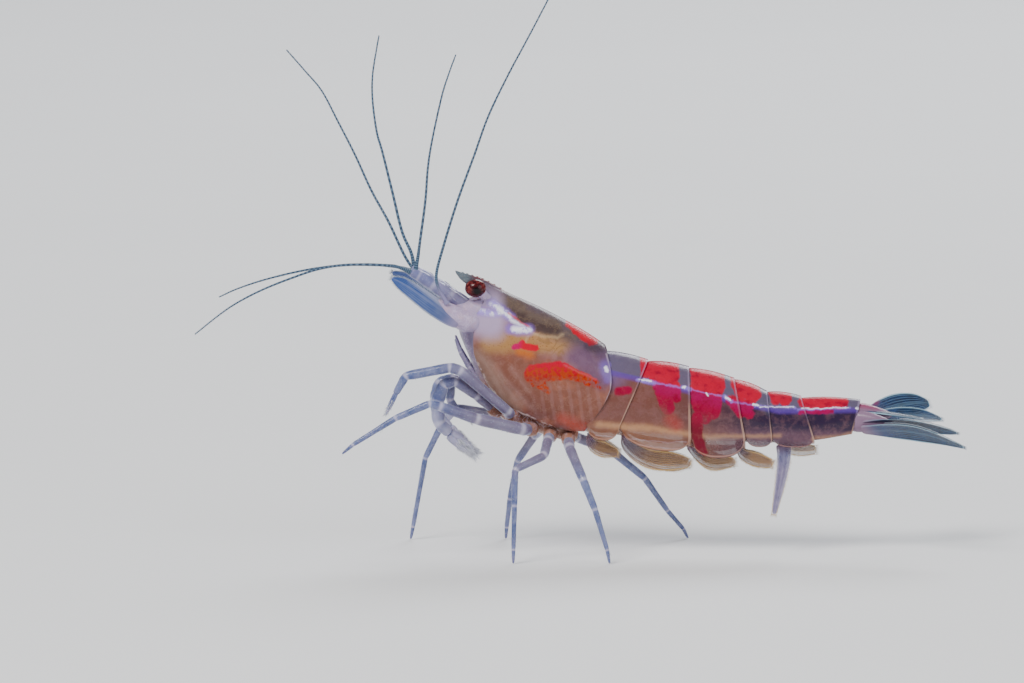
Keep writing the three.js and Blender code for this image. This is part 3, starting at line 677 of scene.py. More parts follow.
def make_eyes():
    eyes = {}
    for side_name, side in SIDES.items():
        centre = EYES[side_name]
        eye = open_piece(f"eyeball_{side_name}")
        bpy.ops.mesh.primitive_ico_sphere_add(subdivisions=5, radius=1, location=centre)
        bpy.ops.transform.resize(value=EYE_RADII, center_override=centre)
        neck = (mirrored(STALK_ROOT, side) - centre).normalized()
        mesh = bmesh.from_edit_mesh(eye.data)
        pick(eye, [point.index for point in mesh.verts
                   if (point.co - centre).normalized().dot(neck) > STALK_FACE])
        bpy.ops.transform.resize(value=(STALK_PINCH,) * 3, center_override=centre)
        finish_mesh(eye, smooth=0)
        eyes[side_name] = eye
    return eyes


# ---------------------------------------------------------------- soft parts under the shell

# The belly, the inside of the head and the mouth, along the middle: x, z, half width, half depth.
BELLY = [(-5.35, 8.75, 0.5, 0.35), (-4.9, 8.1, 0.75, 0.6), (-4.2, 7.5, 0.8, 0.62),
         (-3.2, 7.1, 0.82, 0.62), (-2.2, 6.75, 0.82, 0.62), (-1.2, 6.45, 0.8, 0.62),
         (-0.6, 6.35, 0.6, 0.45)]
CORE = [(-3.5, 7.6, 0.6, 0.6), (-4.9, 8.9, 0.8, 0.8), (-5.5, 10.4, 0.8, 0.8),
        (-5.75, 11.8, 0.78, 0.78), (-5.6, 12.8, 0.7, 0.7), (-5.1, 13.3, 0.45, 0.45)]
MOUTH = [(-5.75, 9.75, 0.4, 0.22), (-6.0, 10.3, 0.55, 0.28), (-6.22, 10.9, 0.6, 0.32),
         (-6.42, 11.5, 0.64, 0.36), (-6.52, 12.1, 0.66, 0.4), (-6.5, 12.7, 0.5, 0.3)]
# The same on each side: x, distance from the middle, z, radius.
ANTENNA_BASE = [(-5.9, 0.7, 12.1, 0.5), (-6.45, 0.9, 12.22, 0.6), (-6.95, 1.02, 12.5, 0.56),
                (-7.45, 1.12, 12.86, 0.42), (-8.0, 1.15, 13.3, 0.2)]
CHEEK = [(-5.4, 0.5, 12.95, 0.4), (-6.0, 0.6, 12.82, 0.52), (-6.55, 0.64, 12.72, 0.5),
         (-7.0, 0.72, 12.85, 0.3)]
# Hip socket of a leg: how far along the leg, radius. It starts inside the belly.
HIP = [(0, 0.4), (0.25, 0.36), (0.42, 0.28)]
# Eyestalk: share of the way to the eye, radius.
EYESTALK = [(0, 0.27), (0.35, 0.22), (0.6, 0.27), (0.82, 0.36)]
FLESH_SIDES = 12
VOXEL = 0.06
SOFTENING = 0.6
SOFTENING_ROUNDS = 6


def make_flesh():
    flesh = open_piece("soft_body")
    for line in (BELLY, CORE, MOUTH):
        stops = [(Vector((x, 0, z)), wide, deep) for x, z, wide, deep in line]
        sweep(flesh, stops, FLESH_SIDES, across=ASIDE)
    for side_name, side in SIDES.items():
        for line in (ANTENNA_BASE, CHEEK):
            stops = [(mirrored(stop, side), stop[3], stop[3]) for stop in line]
            sweep(flesh, stops, FLESH_SIDES, across=UP)
        for joints in LEGS[side_name]:
            hip, knee = mirrored(joints[0], side), mirrored(joints[1], side)
            inner = Vector((hip.x, hip.y * 0.4, hip.z + 0.15))
            along = (knee - hip).normalized()
            stops = [(hip + along * reach, r, r) for reach, r in HIP]
            sweep(flesh, [(inner, 0.36, 0.36), *stops], LIMB_SIDES)
        root = mirrored(STALK_ROOT, side)
        sweep(flesh, [(root.lerp(EYES[side_name], share), r, r) for share, r in EYESTALK],
              FLESH_SIDES)
    bpy.ops.mesh.select_all(action="SELECT")
    bpy.ops.mesh.normals_make_consistent(inside=False)
    bpy.ops.object.mode_set(mode="OBJECT")
    skin = flesh.modifiers.new("one_skin", "REMESH")
    skin.mode = "VOXEL"
    skin.voxel_size = VOXEL
    bpy.ops.object.modifier_apply(modifier=skin.name)
    soften = flesh.modifiers.new("soften", "SMOOTH")
    soften.factor = SOFTENING
    soften.iterations = SOFTENING_ROUNDS
    bpy.ops.object.modifier_apply(modifier=soften.name)
    bpy.ops.object.mode_set(mode="EDIT")
    finish_mesh(flesh, smooth=0)
    return flesh


# ---------------------------------------------------------------- feelers

# The line of each feeler: x, distance from the middle, z.
FEELERS = {
    "antenna_flagellum": {
        "left": [(-7.42, 1.42, 13.2), (-7.85, 1.62, 14.0), (-7.97, 1.75, 14.8), (-7.6, 2.2, 16.3),
                 (-6.87, 3.0, 18.73), (-6.0, 3.8, 21.2), (-5.27, 4.5, 23.3), (-4.25, 5.2, 25.5),
                 (-3.22, 5.9, 27.5), (-2.06, 6.6, 29.8), (-1.09, 7.2, 31.8)],
        "right": [(-7.42, 1.42, 13.1), (-8.55, 1.85, 14.0), (-9.5, 2.3, 15.0), (-10.5, 3.2, 16.95),
                  (-11.4, 4.0, 18.5), (-12.27, 4.8, 20.3), (-13.16, 5.6, 21.95),
                  (-14.02, 6.3, 23.5), (-14.9, 6.8, 24.5), (-15.9, 7.2, 25.6)],
    },
    "antennule_lower_flagellum": {
        "left": [(-9.3, 0.56, 14.74), (-9.9, 0.65, 15.0), (-10.52, 0.8, 15.13),
                 (-12.56, 1.6, 15.25), (-14.04, 2.2, 15.1), (-15.5, 2.8, 14.68),
                 (-16.95, 3.3, 14.15), (-18.2, 3.7, 13.55), (-19.14, 4.0, 12.95),
                 (-20.44, 4.4, 11.95)],
        "right": [(-9.3, 0.56, 14.68), (-9.9, 0.7, 14.85), (-11.44, 1.4, 14.92),
                  (-13.26, 2.2, 14.75), (-15.04, 3.0, 14.4), (-16.95, 3.8, 13.85),
                  (-18.41, 4.4, 13.3), (-19.42, 4.8, 12.8)],
    },
    "antennule_upper_flagellum": {
        "left": [(-9.08, 0.55, 14.75), (-8.93, 0.65, 15.6), (-8.84, 0.8, 16.3), (-8.55, 1.2, 18.5),
                 (-8.41, 1.5, 20.3), (-8.18, 1.8, 21.8), (-7.68, 2.2, 24.1), (-7.31, 2.4, 25.3),
                 (-6.95, 2.6, 26.3)],
        "right": [(-9.12, 0.55, 14.7), (-9.3, 0.75, 15.6), (-9.79, 1.2, 16.7), (-10.3, 2.0, 18.7),
                  (-10.82, 2.7, 20.7), (-11.11, 3.0, 21.7), (-11.33, 3.5, 23.3),
                  (-11.33, 3.9, 24.6), (-11.11, 4.4, 26.0), (-11.0, 4.6, 26.6)],
    },
}
FEELER_RADII = (0.125, 0.045)  # at the root and the tip
FEELER_ROOT = 0.5  # length of its stouter root
RING_LENGTH = 0.21
FEELER_SIDES = 7


def make_feelers():
    pieces = {}
    for kind, places in FEELERS.items():
        for side_name, side in SIDES.items():
            points = [mirrored(place, side) for place in places[side_name]]
            length = sum((b - a).length for a, b in zip(points, points[1:]))
            count = int(length / RING_LENGTH)
            stops, band = [], []
            for number, centre in enumerate(curve_through(points, 2 * count)):
                share = number / (2 * count)
                r = between(FEELER_RADII, share ** 0.8)
                r *= 1 + 0.7 * math.exp(-share * length / FEELER_ROOT)
                r *= 1.0 if number % 2 else 0.8
                stops.append((centre, r, r))
                band.append(float(number % 2))
            piece = open_piece(f"{kind}_ringed_{side_name}")
            sweep(piece, stops, FEELER_SIDES)
            tag(piece, "band", [value for value in band for _ in range(FEELER_SIDES)])
            finish_mesh(piece)
            pieces[kind, side_name] = piece
    return pieces


# ---------------------------------------------------------------- blades

BLADE_SIDES = 16
STUB_SIDES = 12
NARROWEST = 0.05  # half width of a blade where it ends
BLADE_CAP = 0.06  # how far the rounded end goes beyond the last stop
# How far the points of a cupped blade's section are lifted, from its middle to its margin, as
# shares of the cup.
CUP_LIFT = [-0.4, -0.25, 0.1, 0.7, 1.0]


def blade_frames(stops, side, across, steps):
    """Centre, half width, direction across and direction square to the blade, along a blade."""
    centres = curve_through([mirrored(stop, side) for stop in stops], steps)
    widths = curve_through([Vector((stop[3], 0, 0)) for stop in stops], steps)
    lies = Vector((across[0], side * across[1], across[2]))
    frames = []
    for number, centre in enumerate(centres):
        before = centres[max(number - 1, 0)]
        after = centres[min(number + 1, steps)]
        along = (after - before).normalized()
        aside = (lies - along * along.dot(lies)).normalized()
        frames.append((centre, max(widths[number].x, NARROWEST), aside, along))
    return frames


def add_blade(piece, tags, stops, side, across, thickness, root, cup, steps=12):
    """A thin blade, thickest at its root and along its middle, cupped across its width."""
    first = point_count(piece)
    frames = blade_frames(stops, side, across, steps)
    lies = Vector((across[0], side * across[1], across[2]))
    rings = []
    for number, (centre, wide, aside, along) in enumerate(frames):
        share = number / steps
        deep = thickness * (1 - 0.5 * share) + root * max(0.0, 1 - share / 0.4) ** 2
        rings.append((centre, wide, deep, along))
    tip, wide, aside, along = frames[-1]
    rings.append((tip + along * BLADE_CAP, wide * 0.55, thickness * 0.3, along))
    sweep(piece, rings, BLADE_SIDES, across=lies)
    for number, (centre, wide, aside, along) in enumerate(frames):
        square = along.cross(aside)
        start = first + number * BLADE_SIDES
        opposite = start + BLADE_SIDES // 2
        for offset, lift in enumerate(CUP_LIFT):
            pick(piece, {start + offset, opposite - offset, opposite + offset,
                         start + (BLADE_SIDES - offset) % BLADE_SIDES})
            bpy.ops.transform.translate(value=square * cup * wide * lift)
    for number in range(len(rings)):
        for spoke in range(BLADE_SIDES):
            tags["edge"].append(math.sin(2 * math.pi * spoke / BLADE_SIDES))
            tags["along"].append(number / (len(rings) - 1))
    return frames


def add_stub(piece, tags, stops, side):
    """A stout stalk that carries a blade."""
    rings = [(mirrored(stop, side), stop[3], stop[4]) for stop in stops]
    sweep(piece, rings, STUB_SIDES, across=ASIDE)
    for values in tags.values():
        values += [0.0] * STUB_SIDES * len(stops)


def make_blade(name, stops, side, across, thickness, inner=None, stalk=None, **form):
    """A blade as a piece of its own, with the inner blade or the stalk that belongs to it.

    Returns the piece and the frames of the blade, which its hairs are set along.
    """
    piece = open_piece(name)
    tags = {"edge": [], "along": []}
    frames = add_blade(piece, tags, stops, side, across, thickness, **form)
    if inner:
        add_blade(piece, tags, inner, side, across, thickness, **form)
    if stalk:
        add_stub(piece, tags, stalk, side)
    for layer, values in tags.items():
        tag(piece, layer, values)
    finish_mesh(piece)
    return piece, frames


# How thick a blade is, how much thicker at its root, how deep it is cupped and how many steps it
# is made in.
SCALE_FORM = dict(thickness=0.07, root=0.06, cup=0.12)
SWIMMERET_FORM = dict(thickness=0.05, root=0.1, cup=0.1)
UROPOD_FORM = dict(thickness=0.05, root=0.16, steps=16)
TELSON_FORM = dict(thickness=0.1, root=0.2, cup=-0.12)
# The direction across each blade.
SCALE_ACROSS = (0, -0.5, 0.86)
SWIMMERET_ACROSS = (0, 0.25, 1)
HANGING_ACROSS = (1, 0, 0)
TELSON_ACROSS = (0, 1, 0)
# The blades of the tail fan: stops of x, distance from the middle, z and half width, then the
# direction across the blade and how deep it is cupped.
TAIL_FAN = {
    "uropod_outer": {
        "left": ([(14.1, 0.75, 6.55, 0.41), (14.8, 1, 6.55, 0.62), (15.7, 1.5, 6.58, 0.84),
                  (16.8, 2.05, 6.55, 0.92), (17.9, 2.5, 6.34, 0.68), (19.3, 2.9, 5.9, 0.16)],
                 (0, 0.86, 0.52), 0.09),
        "right": ([(14.1, 0.75, 6.95, 0.39), (14.8, 1.1, 7.12, 0.55), (15.5, 1.6, 7.3, 0.75),
                   (16.3, 2.1, 7.44, 0.88), (17.1, 2.5, 7.5, 0.73), (17.7, 2.72, 7.46, 0.29)],
                  (0, 0.82, 0.58), 0.05),
    },
    "uropod_inner": {
        "left": ([(14.1, 0.45, 6.8, 0.32), (15.1, 0.75, 6.85, 0.53), (16.3, 1.05, 6.84, 0.69),
                  (17.6, 1.3, 6.7, 0.61), (18.6, 1.42, 6.52, 0.35), (19, 1.45, 6.44, 0.13)],
                 (0, 0.84, 0.54), 0.09),
        "right": ([(14.1, 0.45, 6.8, 0.31), (15.1, 0.75, 6.96, 0.52), (16.3, 1.1, 7.04, 0.65),
                   (17.4, 1.4, 6.98, 0.52), (18.3, 1.57, 6.78, 0.16)],
                  (0, 0.87, 0.5), 0.09),
    },
}
# The stalk that carries both blades of a side, and the root of the tail spike: x, y, z, half
# width, half height.
UROPOD_STALK = [(13.3, 0.34, 6.95, 0.3, 0.5), (13.9, 0.38, 6.93, 0.36, 0.64),
                (14.5, 0.5, 6.9, 0.38, 0.56), (15.1, 0.72, 6.87, 0.32, 0.4),
                (15.6, 0.9, 6.85, 0.2, 0.2), (15.8, 0.96, 6.84, 0.08, 0.08)]
TELSON_ROOT = [(13.4, 0, 7.35, 0.5, 0.5), (14.0, 0, 7.4, 0.52, 0.5), (14.6, 0, 7.34, 0.48, 0.42),
               (15.2, 0, 7.26, 0.38, 0.28), (15.8, 0, 7.2, 0.2, 0.1)]
TELSON = [(14.0, 0, 7.4, 0.52), (14.5, 0, 7.42, 0.56), (15.0, 0, 7.38, 0.54), (16.0, 0, 7.24, 0.43),
          (17.15, 0, 7.04, 0.2)]

# The swimming legs from front to back: x, distance from the middle, z, half width.
SWIMMERETS = {
    "left": [
        [(-0.05, 0.75, 6.1, 0.25), (0.15, 0.8, 5.75, 0.35), (0.7, 0.85, 5.5, 0.45),
         (1.4, 0.9, 5.32, 0.22)],
        [(1.75, 0.75, 6.3, 0.25), (1.95, 0.82, 5.7, 0.38), (3.1, 0.88, 5.0, 0.55),
         (4.4, 0.9, 4.9, 0.5), (5.2, 0.9, 4.8, 0.22)],
        [(5.15, 0.75, 5.75, 0.25), (5.65, 0.82, 5.3, 0.38), (6.4, 0.88, 4.85, 0.5),
         (7.5, 0.9, 4.85, 0.22)],
        [(7.7, 0.7, 5.75, 0.22), (7.95, 0.8, 5.25, 0.3), (8.7, 0.85, 4.95, 0.4),
         (9.45, 0.88, 4.76, 0.22)],
        [(10.05, 0.6, 5.75, 0.4), (10.08, 0.8, 5.05, 0.36), (9.93, 0.95, 3.95, 0.28),
         (9.58, 1.0, 2.18, 0.12)],
    ],
    "right": [
        [(-0.05, 0.75, 6.1, 0.25), (0.15, 0.8, 5.75, 0.35), (0.7, 0.85, 5.4, 0.45),
         (1.45, 0.9, 5.12, 0.22)],
        [(1.75, 0.75, 6.3, 0.25), (1.95, 0.82, 5.6, 0.38), (3.0, 0.88, 4.9, 0.5),
         (4.3, 0.9, 4.6, 0.5), (5.15, 0.9, 4.5, 0.22)],
        [(5.15, 0.75, 5.75, 0.25), (5.6, 0.82, 5.15, 0.38), (6.4, 0.88, 4.7, 0.45),
         (7.45, 0.9, 4.55, 0.22)],
        [(7.7, 0.7, 5.75, 0.22), (7.95, 0.8, 5.1, 0.3), (8.7, 0.85, 4.75, 0.4),
         (9.45, 0.88, 4.5, 0.22)],
        [(9.9, 0.6, 5.7, 0.25), (10.3, 0.8, 5.4, 0.32), (11.0, 0.88, 5.25, 0.32),
         (11.75, 0.9, 5.25, 0.22)],
    ],
}


# ---------------------------------------------------------------- bristles

BRISTLE_SIDES = 3
BRISTLE_TAPER = 0.12
PATCH = 0.003  # size of one bristle's patch on the unwrap of the part it grows from
FRINGE_LENGTH = 0.2
FRINGE_RADIUS = 0.016
END_HAIRS = 5  # round the end of a blade, on each side
MARGIN = 0.97  # where the hairs are rooted, as a share of the half width


def add_bristle(piece, root, tip, radius):
    along = tip - root
    bpy.ops.mesh.primitive_cone_add(
        vertices=BRISTLE_SIDES, radius1=radius, radius2=radius * BRISTLE_TAPER, depth=along.length,
        location=(root + tip) / 2, rotation=along.to_track_quat("Z", "Y").to_euler(),
    )


def make_bristles(name, hairs):
    """Many short tapering bristles as one mesh. Each hair is a root, a tip, a radius and its
    root's place on the unwrap of the part it grows from."""
    piece = open_piece(name)
    for root, tip, radius, _ in hairs:
        add_bristle(piece, root, tip, radius)
    points_each = point_count(piece) // len(hairs)
    finish_mesh(piece, smooth=0)
    unwrap = piece.data.uv_layers.new(name="OFBake")
    for loop in piece.data.loops:
        hair, corner = divmod(loop.vertex_index, points_each)
        u, v = hairs[hair][3]
        turn = 2 * math.pi * (corner % BRISTLE_SIDES) / BRISTLE_SIDES
        reach = PATCH * (0.5 if corner < BRISTLE_SIDES else 0.25)
        unwrap.data[loop.index].uv = (u + reach * math.cos(turn), v + reach * math.sin(turn))
    return piece


def fringe(frames, spacing, start, band):
    """Hairs along both margins of a blade and round its end.

    start: the share of its length where they begin. band: the rows of the shared unwrap that
    this blade takes up.
    """
    hairs = []
    spans = len(frames) - 1
    for way in (-1, 1):
        for number in range(spans):
            share = number / spans
            if share < start:
                continue
            centre, wide, aside, along = frames[number]
            after, wide_after, aside_after, _ = frames[number + 1]
            a = centre + aside * way * wide * MARGIN
            b = after + aside_after * way * wide_after * MARGIN
            out = (aside * way * (1.1 - share) + along * (0.55 + share)).normalized()
            count = max(1, round((b - a).length / spacing))
            for step in range(count):
                t = (step + random.random() * 0.6) / count
                root = a.lerp(b, t)
                reach = FRINGE_LENGTH * random.uniform(0.75, 1.1) * (0.6 + 0.4 * share)
                place = (0.03 + 0.94 * (share + t / len(frames)), between(band, 0.5 + way * 0.35))
                hairs.append((root - out * 0.04, root + out * reach, FRINGE_RADIUS, place))
        centre, wide, aside, along = frames[-1]
        for step in range(END_HAIRS):
            sway = way * (step + 0.5) / END_HAIRS
            root = centre + aside * sway * wide + along * 0.05
            out = (along + aside * sway * 0.7).normalized()
            tip = root + out * FRINGE_LENGTH * random.uniform(0.8, 1.05)
            place = (0.985, between(band, 0.5 + sway * 0.35))
            hairs.append((root, tip, FRINGE_RADIUS, place))
    return hairs


# How many hairs the brush of a claw has and how long they are, for the first and second legs.
BRUSHES = {1: (700, 1.0), 2: (80, 0.5)}
BRUSH_LENGTHS = (0.2, 0.46)
BRUSH_RADIUS = 0.022
LEG_HAIR_LENGTHS = (0.1, 0.2)
LEG_HAIR_RADIUS = 0.01
LEG_HAIR_SPACING = 0.22
BARE_FOOT = 0.3  # the height up to which a foot carries no hair


def way_out(along, turn):
    """The way out from a line, turned about it."""
    return Matrix.Rotation(turn, 3, along) @ along.orthogonal().normalized()


def claw_hairs():
    """White brushes on the claws of the first two pairs of legs."""
    hairs = []
    row = 0
    for side_name, side in SIDES.items():
        for number, (tip, radius) in CLAWS[side_name].items():
            root = mirrored(LEGS[side_name][number - 1][-1], side)
            end = mirrored(tip, side)
            along = (end - root).normalized()
            count, size = BRUSHES[number]
            for _ in range(count):
                share = random.uniform(0.25, 1.0)
                turn = random.uniform(0, 2 * math.pi)
                out = way_out(along, turn)
                depth = radius * (1.2 - 0.6 * share)
                start = root.lerp(end, share) + out * depth * random.uniform(0.6, 1.0)
                way = (along * 0.9 + out * 0.45).normalized()
                length = random.uniform(*BRUSH_LENGTHS) * size
                place = (0.03 + 0.94 * share, (row + turn / (2 * math.pi)) * 0.25)
                hairs.append((start, start + way * length, BRUSH_RADIUS, place))
            row += 1
    return hairs


def leg_hairs():
    """Sparse bristles along the legs and mouth legs."""
    hairs = []
    limbs = [(joints, SIDES[side_name]) for side_name in SIDES for joints in LEGS[side_name]]
    limbs += [(MAXILLIPED, side) for side in SIDES.values()]
    for row, (joints, side) in enumerate(limbs):
        points = [mirrored(joint, side) for joint in joints]
        for number in range(1, len(points) - 1):
            start, end = points[number], points[number + 1]
            along = (end - start).normalized()
            for _ in range(int((end - start).length / LEG_HAIR_SPACING)):
                share = random.uniform(0.05, 0.95)
                out = way_out(along, random.uniform(0, 2 * math.pi))
                r = between((joints[number][3], joints[number + 1][3]), share)
                root = start.lerp(end, share) + out * r * 0.9
                if root.z < BARE_FOOT:
                    continue
                way = (along * 0.9 + out * 0.6).normalized()
                tip = root + way * random.uniform(*LEG_HAIR_LENGTHS)
                place = (0.02 + 0.96 * (number + share) / len(points),
                         (row + random.random()) / len(limbs))
                hairs.append((root, tip, LEG_HAIR_RADIUS, place))
    return hairs


# ---------------------------------------------------------------- finishes

def tone(red, green, blue):
    """A screen colour from 0 to 255 as the linear colour that a shader takes."""
    return tuple((c / 255 / 12.92 if c <= 10 else ((c / 255 + 0.055) / 1.055) ** 2.4)
                 for c in (red, green, blue)) + (1.0,)


class Tree:
    """Puts nodes into one node tree and joins them."""

    def __init__(self, tree):
        self.tree = tree

    def put(self, kind, inputs=(), **settings):
        node = self.tree.nodes.new(kind)
        for name, value in settings.items():
            setattr(node, name, value)
        for name, value in dict(inputs).items():
            self.join(value, node.inputs[name])
        return node

    def join(self, value, socket):
        if isinstance(value, bpy.types.NodeSocket):
            self.tree.links.new(value, socket)
        else:
            socket.default_value = value

    def math(self, operation, a, b=0.0, c=0.0, clamp=False):
        result = self.put("ShaderNodeMath", {0: a, 1: b, 2: c}, operation=operation).outputs[0]
        if clamp:
            result = self.math("MINIMUM", self.most(result, 0.0), 1.0)
        return result

    def times(self, a, b):
        return self.math("MULTIPLY", a, b)

    def most(self, a, b):
        return self.math("MAXIMUM", a, b)

    def rest(self, share):
        """What a share leaves of the whole."""
        return self.math("SUBTRACT", 1.0, share)

    def vector(self, operation, a, b=(0, 0, 0), output=0):
        node = self.put("ShaderNodeVectorMath", {0: a, 1: b}, operation=operation)
        return node.outputs[output]

    def ramp(self, value, low, high, to_low=0.0, to_high=1.0):
        """A value brought smoothly from one range to another and held at its ends."""
        node = self.put("ShaderNodeMapRange", {
            "Value": value, "From Min": low, "From Max": high, "To Min": to_low, "To Max": to_high,
        }, interpolation_type="SMOOTHSTEP", clamp=False)
        return node.outputs["Result"]

    def mix(self, share, base, over):
        node = self.put("ShaderNodeMix", data_type="RGBA")
        self.join(share, node.inputs[0])
        self.join(base, node.inputs[6])
        self.join(over, node.inputs[7])
        return node.outputs[2]

    def noise(self, place, scale, detail, roughness=0.5, output="Fac"):
        node = self.put("ShaderNodeTexNoise", {
            "Vector": place, "Scale": scale, "Detail": detail, "Roughness": roughness,
        })
        return node.outputs[output]


def new_group(name, inputs, outputs):
    """A node group. Inputs and outputs are (name, kind, value)."""
    tree = bpy.data.node_groups.new(name, "ShaderNodeTree")
    for in_out, sockets in (("INPUT", inputs), ("OUTPUT", outputs)):
        for socket_name, kind, value in sockets:
            socket = tree.interface.new_socket(socket_name, in_out=in_out, socket_type=kind)
            if value is not None:
                socket.default_value = value
    return tree, Tree(tree), tree.nodes.new("NodeGroupInput"), tree.nodes.new("NodeGroupOutput")


def make_streak_group():
    """A soft-edged mark along a line seen from the side, the same on both flanks."""
    tree, desk, given, found = new_group("streak", [
        ("Place", "NodeSocketVector", None),
        ("From", "NodeSocketVector", None),
        ("To", "NodeSocketVector", None),
        ("Half Width", "NodeSocketFloat", 0.3),
        ("End Half Width", "NodeSocketFloat", 0.3),
        ("Softness", "NodeSocketFloat", 0.1),
    ], [("Mask", "NodeSocketFloat", None)])
    flat = desk.vector("MULTIPLY", given.outputs["Place"], (1, 0, 1))
    run = desk.vector("SUBTRACT", given.outputs["To"], given.outputs["From"])
    arm = desk.vector("SUBTRACT", flat, given.outputs["From"])
    share = desk.math(
        "DIVIDE", desk.vector("DOT_PRODUCT", arm, run, output="Value"),
        desk.vector("DOT_PRODUCT", run, run, output="Value"), clamp=True,
    )
    scaled = desk.put("ShaderNodeVectorMath", {0: run, "Scale": share},
                      operation="SCALE").outputs[0]
    gap = desk.vector("LENGTH", desk.vector("SUBTRACT", arm, scaled), output="Value")
    growth = desk.math("SUBTRACT", given.outputs["End Half Width"], given.outputs["Half Width"])
    half = desk.math("MULTIPLY_ADD", growth, share, given.outputs["Half Width"])
    inside = desk.math("DIVIDE", desk.math("SUBTRACT", half, gap), given.outputs["Softness"])
    desk.join(desk.ramp(inside, -1.0, 1.0), found.inputs["Mask"])
    return tree


def make_grain_group():
    """Fine mottling, pigment specks and a surface of faint pits, all at a set size."""
    tree, desk, given, found = new_group("grain", [
        ("Place", "NodeSocketVector", None),
        ("Size", "NodeSocketFloat", 0.3),
    ], [
        ("Mottle", "NodeSocketFloat", None),
        ("Specks", "NodeSocketFloat", None),
        ("Height", "NodeSocketFloat", None),
    ])
    rate = desk.math("DIVIDE", 1.0, given.outputs["Size"])
    mottle = desk.noise(given.outputs["Place"], rate, 4.0, 0.6)
    fine = desk.noise(given.outputs["Place"], desk.times(rate, 6.0), 2.0, 0.6)
    cells = desk.put("ShaderNodeTexVoronoi", {
        "Vector": given.outputs["Place"], "Scale": desk.times(rate, 4.0),
    })
    desk.join(mottle, found.inputs["Mottle"])
    desk.join(desk.ramp(cells.outputs["Distance"], 0.32, 0.12), found.inputs["Specks"])
    height = desk.math("MULTIPLY_ADD", fine, 0.5, desk.times(mottle, 0.5))
    desk.join(height, found.inputs["Height"])
    return tree


STREAK = make_streak_group()
GRAIN = make_grain_group()


# A ragged outline is three waves on top of each other: waves to the millimetre, share of the
# reach.
RAGGED_WAVES = ((0.9, 1.0), (4.0, 0.45), (11.0, 0.3))
COAT_ROUGHNESS = 0.07
SKIN_SHEEN = 0.12
FLESH_GLOW = (1.0, 0.5, 0.4)  # how far each colour of light travels in flesh, as shares
FLESH_DEPTH = 0.6  # and how far in all


